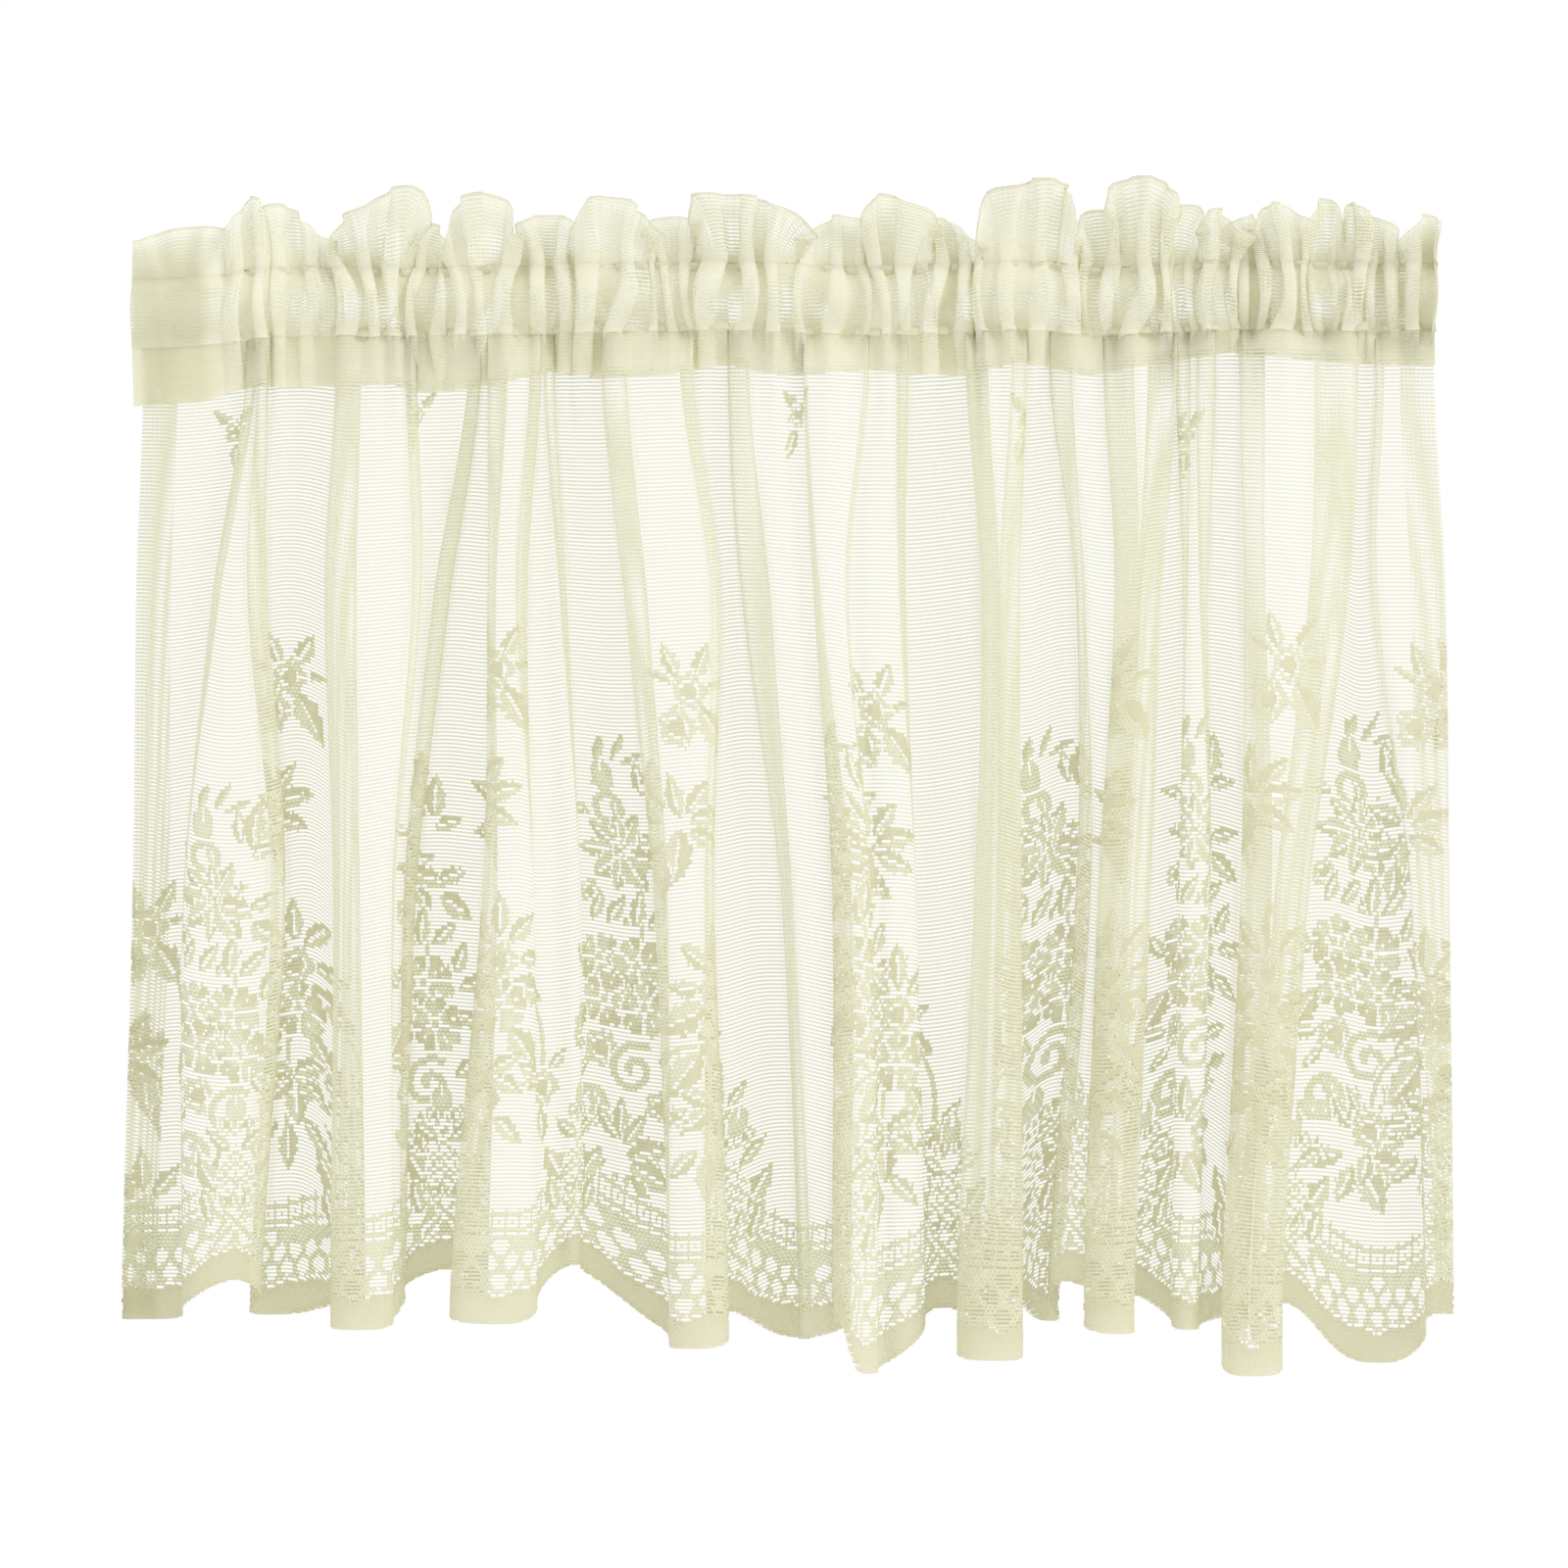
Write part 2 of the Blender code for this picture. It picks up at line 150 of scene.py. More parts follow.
# Each row is a loop of the frill: its ends along the top edge, the height of its crown, its depth
# there, and how much higher its right end is than its middle
LOOPS = table(
    "left right crown depth lean",
    (-341, -293, 37, -1, 4), (-292, -268, 51, -12, 5), (-271, -237, 47, 7, -8),
    (-234, -193, 53, -15, 11), (-196, -176, 39, 8, -3), (-179, -141, 54, -11, 2),
    (-140, -111, 44, 10, 3), (-111, -68, 53, -13, -4), (-70, -44, 45, 11, 3),
    (-46, 8, 54, -15, -5), (9, 44, 44, 10, 3), (42, 80, 54, -11, -3), (79, 102, 42, 11, -7),
    (102, 155, 61, -16, 1), (156, 174, 46, 9, 4), (174, 203, 62, -13, -3),
    (199, 220, 49, 10, -4), (216, 240, 45, -11, -6), (236, 252, 45, 10, 1),
    (248, 276, 50, -12, -4), (272, 291, 54, 10, 1), (288, 307, 51, -10, 1),
    (304, 326, 44, 10, -7), (324, 345, 43, -7, 5),
)
LOOP_SHOULDER = 7.0  # how much lower a loop is at its ends
FLAT_SHOULDER = 4.0  # of the first loop, which lies flat
LOOP_SHARES = (-0.85, -0.4, 0.1, 0.5, 0.85)  # its stations, from its middle to its ends
LOOP_NECK = 0.7  # a loop's width at the seam, as a share of its width on top
LOOP_ROUND = 0.4  # how much less deep a loop is at its ends, as a share of its depth
LOOP_BASE_DEPTH = 4.0
LOOP_FLARE = 1.6  # over 1, a loop widens most near its top
END_LOOP_DROP = 0.9  # where the first loop starts, as a share of the way to its end
FLANK_DIP = 3.0  # how far the cloth between two loops dips below their ends
FLANK_REACH = 1.5  # of the stations next to that dip, from its middle and from the ends
FLANK_RISE = 1.0  # of these over the dip
FLANK_BASE_SHARE = 0.4  # of the loop's depth at the seam
END_TUCK = 4.0  # how far the frill's right end is drawn in at the seam

# How far the heading hangs below its level line
SEAM_SAG = table(
    "x sag",
    (-341, 8.0), (-305, 6.5), (-262, 1.5), (-205, 2.0), (-140, 0.5), (-30, -1.5), (50, 1.0),
    (125, -1.5), (170, 1.0), (235, -2.0), (300, -1.0), (344, -1.0),
)

# Lower edge of the allowance that is turned under at the back of the lower seam
TURNED_EDGE = table(
    "x z",
    (-341, -56), (-306, -54), (-280, -46), (-205, -45), (-192, -49), (-166, -47), (-122, -38),
    (-96, -41), (-58, -39), (-30, -34), (-1, -40), (42, -37), (94, -40), (124, -33), (160, -40),
    (184, -35), (233, -28), (299, -34), (350, -34),
)

# Small folds of the heading
GATHER_PITCH = 27.0  # along the flat cloth
GATHER_DEPTH = 3.4
GATHER_OVERLAP = 1.8
GATHER_LEAN = 0.9  # how far they shift from the pocket's middle to a seam, in radians
GATHER_START = -296.0  # to the left of it the heading lies flat
GATHER_REACH = 14.0
GATHER_LEAST = 0.06  # how much of the small folds is left there
BACK_SHIFT = 2.0  # of the back's folds against the front's, in radians
POCKET_EASE = 0.3  # how much shallower the folds are halfway up the pocket
POCKET_FULLNESS = 1.7  # over 1, the pocket is flat near its seams
POCKET_ROWS = 14
SEAM_FULLNESS = 0.09  # half the thickness of the drawn-in cloth, as a share of the pocket's
SEAM_OVERLAP = 0.15
SEAM_HOLD = 0.95  # how much the lower seam sets the depth of the cloth below it
SEAM_HOLD_REACH = 14.0  # how far below the seam it does
HEADING_FADE = 34.0  # how far below the seam the small folds fade out
TURNED_ROWS = 7
TURNED_DEPTH = 5.0
TURNED_LEAN = 0.5  # how far the small folds shift down the band, in radians
FRILL_ROWS = 15
FRILL_SPACING = 1.6  # over 1, its rows lie closer together near the top
FRILL_RISE = 37.0  # its usual height over the seam
FRILL_DEPTH = 15.0
FRILL_PUFF = 2.2  # half the room between its two layers
FRILL_PUFF_FOOT = 0.3  # as a share of this, at its foot
FRILL_EASE = 0.3  # how much shallower the small folds are at its top
FRILL_EASE_BEND = 0.7  # under 1, most of this comes low down
HEADING_COLUMN_PITCH = 1.1
STITCH_PITCH = 3.2
STITCH_ENDS = (0.12, 0.8)
STITCH_RADIUS = 0.14

# Waves along the flat cloth: their size, their length over 2 pi, and how far each wanders along the
# cloth, in radians, over what length
Wave = namedtuple("Wave", "size length wander far", defaults=(0.0, 1.0))
ROW_BENDS = (Wave(2.2, 19.0), Wave(1.1, 8.3))  # of the hanging lace's rows
ROW_DRIFTS = (Wave(2.6, 21.0), Wave(1.3, 9.7))  # of the heading's rows
GATHER_DRIFTS = (Wave(1.3, 17.0), Wave(0.9, 29.0))  # of the small folds, in radians
GATHER_UNEVEN = Wave(0.45, 31.0)
SEAM_WAVE = Wave(0.5, 5.3)
SEAM_UNEVEN = Wave(0.65, 14.0, 1.5, 33.0)  # of how far the seams hold the cloth close
POCKET_SWAY = Wave(2.6, 23.0, 1.3, 51.0)  # of the small folds to the side, between the seams
FRILL_LEAN = Wave(3.0, 33.0, 0.6, 71.0)  # of the loops, to the side
CREST_ROLL = Wave(3.2, 6.3, 2.0, 37.0)  # of their lips, to the side
CREST_CURL = Wave(3.6, 12.0, 1.5, 41.0)  # to the front and back
CREST_FLUTTER = Wave(2.1, 25.0 / (2 * math.pi), 2.0, 53.0)
CREST_WAVE = Wave(1.1, 13.0, 1.5, 29.0)  # up and down
SLACK_ALONG = Wave(1.0, 11.3, 1.6, 27.0)  # where the cloth is slack
SLACK_UP = Wave(0.8, 6.1)
SLACK_WANDER = Wave(2.0, 37.0)
SLACK_LEAST = 0.35
SLACK_SOFTNESS = 0.7

# Looks of the heading: how light its thread is painted, in painted light and shade, and how much of
# the net's openings is covered
CLOSE_ENDS = (-303.0, 326.0)  # beyond them the heading is doubled over by the side hems
HEM_FADE = 9.0
HEM_PAINTED_SHADE = 1.0  # painted shade: how much darker the doubled cloth is drawn there
HEM_COVER = 0.2
POCKET_PAINTED_SHADING = 0.68
POCKET_COVER = 0.07
FRILL_PAINTED_SHADING = 0.66
TURNED_PAINTED_SHADING = 0.7
TURNED_OPENNESS = 0.252  # of the band, where the cloth is slack
FOLD_PAINTED_LIGHT = 0.42  # painted light: how much lighter the front of a small fold is drawn than its middle
LOOP_PAINTED_LIGHT = 0.3  # and painted light on the foot of a loop at the front, as a share of this
WINDOW_OPENNESS = 0.42  # where the cloth is slack
WINDOW_SHIFT = 1.0  # where the waves of slack cloth start, in radians
WINDOW_REACH = 30.0  # of these places up the frill
PATCH_COVER = 0.36  # where the gathers lie close over one another
PATCH_SHIFT = 4.1  # and where those of the close cloth do
SEAM_REACH = 8.0  # how far from a seam the drawn-in cloth stays close
# painted light: how much lighter the cloth is drawn near a seam, against the shade where its layers
# lie close
SEAM_PAINTED_LIGHT = 0.42
SEAM_COVER = 0.48
FRILL_OPENNESS = 0.6  # how open the frill is at its top
CREST_REACH = 0.12  # half the width of the frill's fold line
CREST_COVER = 0.5
CREST_PAINTED_SHADE = 0.25  # painted shade: how much darker it is drawn
UNDER_PAINTED_LIGHT = 0.3  # painted light: how much lighter the cloth just below it is drawn

# Border of one scallop, mirrored about its foot: a is the distance from the foot along the lace
BAND_TOP = table("a v", (0, 14), (9, 18), (17, 18), (25, 22), (38, 30), (48, 40), (60, 46))
SWAG_FOOT = table("a v", (0, 46), (16, 48), (34, 56), (60, 74))
SWAG_RISE = table("a v", (0, 14.5), (34, 16), (60, 20))  # the swag's own height
SWAG_RUNGS = (6, 1, 6, 3, 6, 1, 6)  # on each of its rows one stitch in so many is worked
EDGE_JOINS = 5  # and so on the row that joins the solid edge to the border
EYELET_ROWS = 3
EYELET_PITCH = 10.8
EYELET_RISE = 9.4  # from one row of eyelets to the next
EYELET_FIRST = 7.5  # from the solid edge to the middle of the first row
EYELET_WIDTH = 8.0
EYELET_HEIGHT = 8.6
EYELET_POINT = 1.5  # under 2, they are pointed at the top and the foot
LATTICE_PITCH = 5.6
LATTICE_LINE = 0.17  # half the width of its open lines, as a share of the pitch

# Flowers, in the chart of one column: places from the column's middle, in millimetres and degrees
Motif = namedtuple("Motif", "kind x v size angle")
Stem = namedtuple("Stem", "start bend end width")


def items_of(stems, motifs):
    """The items of a column's chart, in the order in which they are worked."""
    return [Stem(*row) for row in stems] + [Motif(*row) for row in motifs]


TALL = items_of(
    (
        ((-7, 298), (-4, 284), (-2, 272), 2.4), ((6, 240), (14, 220), (2, 180), 2.6),
        ((8, 128), (10, 100), (19, 76), 2.6),
    ),
    (
        ("leaf", -12, 318, 13, 66), ("spike", -3, 318, 17, 56), ("spike", 3, 317, 15, 18),
        ("bud", -10, 302, 15, 88), ("leaf", 13, 299, 18, 98), ("broad leaf", 18, 298, 21, 78),
        ("leaf", 18, 292, 16, 20), ("leaf", -19, 288, 14, 160), ("ring", -8, 292, 8, 0),
        ("leaf", -4, 271, 20, 18), ("broad leaf", -3, 272, 19, 58), ("leaf", -3, 272, 17, 96),
        ("leaf", -4, 271, 20, 140), ("leaf", -5, 269, 22, 178), ("broad leaf", -4, 268, 19, 222),
        ("leaf", -3, 268, 19, 262), ("broad leaf", -2, 268, 22, -54), ("leaf", -2, 269, 24, -16),
        ("rose", -3, 270, 4, 0), ("leaf", 17, 264, 17, 20), ("broad leaf", 18, 256, 19, -34),
        ("rose", -22, 246, 7, 0), ("leaf", -20, 231, 16, 70), ("leaf", -11, 231, 17, 56),
        ("leaf", -2, 230, 17, 40), ("leaf", 5, 229, 20, 82), ("leaf", 12, 229, 18, 42),
        ("blossom", -15, 211, 15, 0), ("blossom", 6, 209, 16, 40), ("blossom", -11, 189, 15, 75),
        ("blossom", 12, 187, 15, 20), ("leaf", 24, 214, 18, 68), ("leaf", 26, 206, 19, 22),
        ("leaf", 25, 194, 17, -34), ("leaf", -27, 204, 16, 126),
        ("broad leaf", -23, 186, 22, -124), ("rose", -11, 163, 10, 0),
        ("leaf", -21, 164, 15, 176), ("leaf", -18, 156, 14, 226), ("hook", 8, 154, 14, 60),
        ("curl", -16, 132, 13, 200), ("leaf", 22, 158, 16, 42), ("rose", 24, 136, 8, 0),
        ("leaf", 28, 144, 13, 50), ("leaf", 2, 116, 19, 128), ("leaf", 4, 116, 21, 94),
        ("leaf", 6, 114, 19, 58), ("broad leaf", 8, 108, 23, 16),
        ("broad leaf", 10, 104, 24, -24), ("broad leaf", 8, 98, 24, -62),
        ("leaf", 3, 98, 20, -112), ("leaf", -3, 104, 20, -158), ("leaf", -22, 112, 14, -60),
    ),
)
SPRIG = items_of(
    (
        ((1, 352), (-3, 346), (-8, 340), 2.4), ((6, 180), (38, 190), (38, 140), 3.0),
        ((-8, 170), (-38, 176), (-38, 136), 3.0), ((0, 204), (-6, 160), (-6, 100), 2.6),
    ),
    (
        ("spike", -6, 360, 17, 152), ("leaf", -3, 362, 19, 112), ("leaf", 6, 361, 20, 60),
        ("spike", 8, 355, 17, 16), ("rose", 2, 355, 10, 0), ("rose", -9, 337, 11, 0),
        ("broad leaf", 6, 346, 25, -60), ("leaf", -17, 290, 22, 96), ("leaf", -13, 291, 22, 46),
        ("leaf", -12, 287, 24, 12), ("leaf", -13, 282, 22, -24),
        ("broad leaf", -18, 284, 27, -104), ("spike", -24, 296, 20, 128),
        ("leaf", -27, 288, 22, 152), ("leaf", -28, 278, 22, -164),
        ("broad leaf", -30, 268, 19, -98), ("leaf", 0, 212, 22, 94), ("leaf", 5, 209, 21, 48),
        ("leaf", -5, 209, 21, 138), ("leaf", 10, 199, 19, 14), ("leaf", -9, 199, 19, 168),
        ("rose", 0, 199, 10, 0), ("broad leaf", -7, 190, 27, -160),
        ("broad leaf", 8, 188, 25, -16), ("blossom", 1, 176, 15, 20),
        ("broad leaf", -10, 167, 28, -130), ("broad leaf", 8, 163, 27, -50),
        ("maple", -2, 140, 25, 274), ("leaf", 14, 144, 19, -20), ("leaf", -17, 138, 20, 205),
        ("leaf", -5, 114, 23, -92), ("leaf", 3, 117, 20, -44), ("leaf", -11, 116, 19, -138),
        ("rose", 38, 133, 10, 0), ("leaf", 38, 122, 18, -80), ("leaf", 31, 136, 15, 190),
        ("leaf", 42, 142, 14, 50), ("rose", -38, 130, 10, 0), ("leaf", -38, 119, 18, -100),
        ("leaf", -31, 134, 15, -10), ("leaf", -44, 138, 14, 120),
    ),
)
BUDLET = items_of(
    (),
    (
        ("leaf", -2, 208, 13, 140), ("leaf", 2, 208, 13, 50), ("leaf", 0, 198, 15, -84),
        ("rose", 0, 205, 6, 0),
    ),
)
CREST = items_of(
    (
        ((-11, 47), (-4, 56), (6, 66), 2.6), ((11, 47), (4, 56), (-6, 66), 2.6),
    ),
    (
        ("leaf", 13, 58, 19, 78), ("leaf", -13, 58, 19, 102), ("broad leaf", 10, 76, 19, 58),
        ("broad leaf", -10, 76, 19, 122), ("rose", 4, 72, 5.5, 0), ("rose", -4, 72, 5.5, 0),
        ("lattice", 0, 80, 20, 90), ("leaf", 3, 98, 16, 40), ("leaf", -3, 98, 16, 140),
        ("rose", 5, 112, 5, 0), ("rose", -5, 112, 5, 0), ("bud", 0, 114, 13, 90),
    ),
)

# Where each column's heart lies on the hanging lace, as seen from the front
HEART = 200.0  # its height in the chart
COLUMNS = table(
    "chart x z",
    (TALL, -295, -364), (TALL, -193, -352), (TALL, -82, -350), (TALL, 35, -352),
    (TALL, 141, -350), (TALL, 215, -344), (TALL, 303, -350), (SPRIG, -336, -480),
    (SPRIG, -256, -350), (SPRIG, -148, -346), (SPRIG, -36, -358), (SPRIG, 60, -368),
    (SPRIG, 172, -352), (SPRIG, 254, -350), (SPRIG, 338, -346), (BUDLET, -287, -74),
    (BUDLET, -190, -66), (BUDLET, 8, -64), (BUDLET, 126, -68), (BUDLET, 212, -76),
)
MOTIF_SCALE = 1.12  # of the motifs to their sizes in the chart
OUTLINE = 1.2  # open edge round each motif
OUTSIDE = -9.0  # how far inside a shape the places beyond its ends are
VEIN = 0.8  # half the width of an open line
VEINED_WIDTH = 7.0  # of the least leaf that has a vein
VEIN_ENDS = (0.15, 0.75)
LEAF_WIDTHS = {"leaf": 0.46, "broad leaf": 0.62, "spike": 0.26}
LEAF_HEEL = 0.8  # under 1, it is widest near its stalk
LEAF_TEETH = 4
TOOTH = 0.36  # its depth, as a share of the leaf's half width
TOOTH_TOP = 1.08  # how far out its tip is, in this measure
MAPLE_LOBES = ((0, 1.0), (55, 0.85), (-55, 0.85), (115, 0.75), (-115, 0.75))  # angles and sizes
MAPLE_WIDTH = 0.5
Spiral = namedtuple("Spiral", "radius turns close width")
SPIRALS = {
    "ring": Spiral(0.8, 1, 0, 0.45),
    "curl": Spiral(0.85, 1.6, 0.7, 0.34),
    "hook": Spiral(0.9, 1.4, 0.85, 0.26),
}
SPIRAL_POINTS = 60
STEM_POINTS = 50
MOTIF_REACH = 1.2  # of the motifs' outlines, in their sizes
MOTIF_MARGIN, STEM_MARGIN = 3.0, 5.0
OPEN, DOTTED, SOLID = 0, 1, 2
STITCHES_A_PATCH = 3
WORK_LIFT = 0.15  # of the worked stitches over the net
WORKED_REACH = 2.2  # how far inside the worked cloth the net gives way to it
WORKED_LEAST = 0.75  # the share of worked stitches round it from which it does
WORKED_SOFTNESS = 0.2
BAND_COVER = 0.93  # of the net over the allowance turned under at the back
BAND_PAINTED_LIGHT = 0.75  # painted light: how much lighter the net is drawn where the band lies behind it
BAND_FOLD_PAINTED_SHADE = 0.12  # painted shade: how much darker the small folds are drawn at the back

# Painted light and shade on the thread: 1 is lightest, drawn where the cloth stands nearest and
# towards the right
PAINTED_SHADING_MIDDLE = 0.5
PAINTED_SHADING_DEPTH = 34.0  # the depth between the darkest and the lightest painted shade
PAINTED_SHADING_WIDTH = 1500.0  # and the width
ROLL_PAINTED_LIGHT = 0.4  # painted light: how much lighter the folds' layers are drawn than the open cloth
ROLL_MIDDLE = 0.35  # the share of three layers at which the painted light adds nothing
ROLL_EDGE = 2.0
ROLL_LEAST = 2.5  # half the width of the least fold that is as light as the others
EDGE_WIDTH = 1.3  # of the close line where a fold turns
EDGE_PAINTED_SHADE = 0.4  # painted shade: how much darker the fold is drawn there
EDGE_COVER = 0.4  # how much of the net's openings is closed there

# Materials: the thread's colour where painted light makes it lightest and painted shade darkest,
# the thread's share of a row and what fibres cover of the openings, and the size of the holes
# between worked stitches
Net = namedtuple("Net", "name light dark thread veil")
IVORY_NET = Net("ivory net", (0.86, 0.85, 0.70), (0.77, 0.76, 0.59), 0.46, 0.02)
TURNED_NET = Net("turned net", (0.93, 0.91, 0.77), (0.82, 0.81, 0.62), 0.42, 0.93)
GATHERED_NET = Net("gathered net", (0.92, 0.91, 0.78), (0.74, 0.73, 0.55), 0.42, 0.44)
Work = namedtuple("Work", "name light dark hole")
DOTTED_WORK = Work("worked stitches", (0.84, 0.83, 0.66), (0.71, 0.71, 0.51), 0.16)
CLOSE_WORK = Work("close stitches", (0.79, 0.77, 0.58), (0.66, 0.64, 0.44), 0.04)
SEWING_THREAD = (0.90, 0.89, 0.74)
# the sewing thread's painted shaded colour, as a share of its lit colour
THREAD_SHADE = 0.9
THREAD_TWIST = 0.7  # millimetres
NET_ROUGHNESS, WORK_ROUGHNESS, THREAD_ROUGHNESS = 0.85, 0.8, 0.7
NET_SHIFT = 0.38  # of the threads within their rows
NET_EDGE = 0.06  # how soft the edge of a thread is, as a share of a row
HOLE_HEIGHT = 1.1
HOLE_EDGE = 0.08
HOLE_DEPTH = 0.5  # how open the holes between worked stitches are
GLOW = 0.45  # share of the light that comes through the thread
RELIEF = 0.3  # millimetres
RELIEF_STRENGTH = 0.35
GLOSS = 0.2
SHEEN = 0.15

# Studio
LAYERS = 64  # of openwork that a ray of light may pass
SUN_ENERGY = 0.9
SUN_ANGLE = 25  # degrees
SUN_PLACE = (2.2, -1.6, 1.4)  # metres
SUN_TARGET = (0, 0, -0.2)
FLOOR_RADIUS = 1.1
FLOOR_HEIGHT = -0.80
FLOOR_SIDES = 64
FLOOR_COLOUR = (0.85, 0.85, 0.84, 1)
FLOOR_ROUGHNESS = 0.6


def wave(shape, u, shift=0.0):
    """How high a wave stands at places along the flat cloth."""
    wander = shape.wander * np.sin(u / shape.far + shift)
    return shape.size * np.sin(u / shape.length + wander + shift)


def waves(shapes, u):
    """The sum of waves that start a radian apart."""
    return sum(wave(shape, u, shift) for shift, shape in enumerate(shapes))


def curve_at(places, values, place):
    """A smooth curve through the values at their places, held at its two ends."""
    places, values = np.asarray(places, float), np.asarray(values, float)
    place = np.clip(place, places[0], places[-1])
    index = np.clip(np.searchsorted(places, place, side="right") - 1, 0, len(places) - 2)
    before = values[np.maximum(index - 1, 0)]
    low, high = values[index], values[index + 1]
    after = values[np.minimum(index + 2, len(values) - 1)]
    t = (place - places[index]) / (places[index + 1] - places[index])
    return 0.5 * (
        2 * low
        + (high - before) * t
        + (2 * before - 5 * low + 4 * high - after) * t**2
        + (3 * low - before - 3 * high + after) * t**3
    )


def at_level(values, z):
    return curve_at([-level for level in LEVELS], values, -z)


def seam_sag(x):
    return curve_at(*np.array(SEAM_SAG).T, x)


def value_at(points, place):
    """The value between points that are given as (place, value)."""
    return np.interp(place, *np.array(points).T)


def pleat(right, left, before, after):
    """The five stations of a pleat: the cloth turns at the right, runs back and turns again."""
    step = after - before
    return [
        (right - CREST_RADIUS, before),
        (right, before + TURN_REACH * step),
        ((right + left) / 2, (before + after) / 2),
        (left, after - TURN_REACH * step),
        (left + CREST_RADIUS, after),
    ]


def bulged(start, end, count, bulge):
    """Evenly spaced stations between two others, without the two, bowed along Y by the bulge."""
    shares = [(i + 1) / (count + 1) for i in range(count)]
    return [
        (
            start[0] + (end[0] - start[0]) * share,
            start[1] + (end[1] - start[1]) * share + bulge * math.sin(math.pi * share),
        )
        for share in shares
    ]


def panel_counts():
    """How many stations lie between one pleat and the next, from the cloth's width there."""
    edges = [LEFT_HEM[0][-1]]
    for fold in FOLDS:
        edges += [fold.middle[-1] + fold.width[-1] / 2, fold.middle[-1] - fold.width[-1] / 2]
    edges.append(RIGHT_HEM[0][-1])
    widths = [right - left for left, right in zip(edges[::2], edges[1::2])]
    return [max(1, round(width / STATION_PITCH)) for width in widths]


def bow(start, end, depth, share):
    """How far the cloth between two pleats bows to the front or the back."""
    return math.copysign(1, depth) * np.clip(BOW_SHARE * (end[0] - start[0]), 0, MOST_BOW) * share


def panel_stations(z):
    """The panel's cross-sections at an array of heights, as (x, y) stations from left to right."""
    share = at_level(DEPTH_SHARES, z)
    depths = [fold.depth * share for fold in FOLDS] + [LAST_DEPTH * share]
    counts = panel_counts()
    outer, inner = (at_level(edge, z) for edge in LEFT_HEM)
    back = depths[0] + HEM_RETURN_GAP
    stations = [
        (inner, back),
        (outer + HEM_TURN_RADIUS, back),
        (outer, (back + depths[0]) / 2),
        (outer + HEM_TURN_RADIUS, depths[0]),
    ]
    for fold, count, before, after in zip(FOLDS, counts, depths, depths[1:]):
        middle = at_level(fold.middle, z)
        half = at_level(fold.width, z) / 2
        turned = pleat(middle + half, middle - half, before, after)
        start = stations[-1]
        bulge = 0.0 if fold is FOLDS[0] else bow(start, turned[0], fold.depth, share)
        stations += bulged(start, turned[0], count, bulge) + turned
    outer, inner = (at_level(edge, z) for edge in RIGHT_HEM)
    front = depths[-1]
    back = front + HEM_RETURN_GAP
    turned = [
        (outer - HEM_TURN_RADIUS, front),
        (outer, (front + back) / 2),
        (outer - HEM_TURN_RADIUS, back),
        (inner, back),
    ]
    stations += bulged(stations[-1], turned[0], counts[-1], 0.0) + turned
    return np.array([[np.broadcast_to(c, np.shape(z)) for c in station] for station in stations])


def smooth_line(points, counts):
    """A smooth line through points, along their first axis, with counts[i] steps from point i."""
    chord = np.linalg.norm(np.diff(points, axis=0), axis=-1, keepdims=True)
    chord = np.maximum(chord, 1e-3)
    slope = np.diff(points, axis=0) / chord
    inner = (slope[1:] * chord[:-1] + slope[:-1] * chord[1:]) / (chord[:-1] + chord[1:])
    tangent = np.concatenate([slope[:1], inner, slope[-1:]])
    line = []
    for i, count in enumerate(counts):
        for t in np.arange(count) / count:
            start, end = points[i], points[i + 1]
            pull, push = tangent[i] * chord[i], tangent[i + 1] * chord[i]
            line.append(
                start * (2 * t**3 - 3 * t**2 + 1)
                + end * (3 * t**2 - 2 * t**3)
                + pull * (t**3 - 2 * t**2 + t)
                + push * (t**3 - t**2)
            )
    return np.array(line + [points[-1]])


def shares_along(line):
    """The distance along a line, on its first axis, as shares of the whole."""
    steps = np.linalg.norm(np.diff(line, axis=0), axis=-1)
    total = np.concatenate([np.zeros_like(steps[:1]), np.cumsum(steps, axis=0)])
    return total / total[-1]


def stretch_after(name):
    """The numbers of the first and last station of the cloth between a fold and the next."""
    counts = panel_counts()
    index = [fold.name for fold in FOLDS].index(name) + 1 if name != "left hem" else 0
    first = HEM_STATIONS - 1 + sum(counts[:index]) + PLEAT_STATIONS * index
    return first, first + counts[index] + 1


def seam_hold(drop):
    """How much the lower seam sets the depth of the cloth at a distance below it, and how much of
    the small folds is left there."""
    return SEAM_HOLD * np.exp(-drop / SEAM_HOLD_REACH), np.exp(-drop / HEADING_FADE)


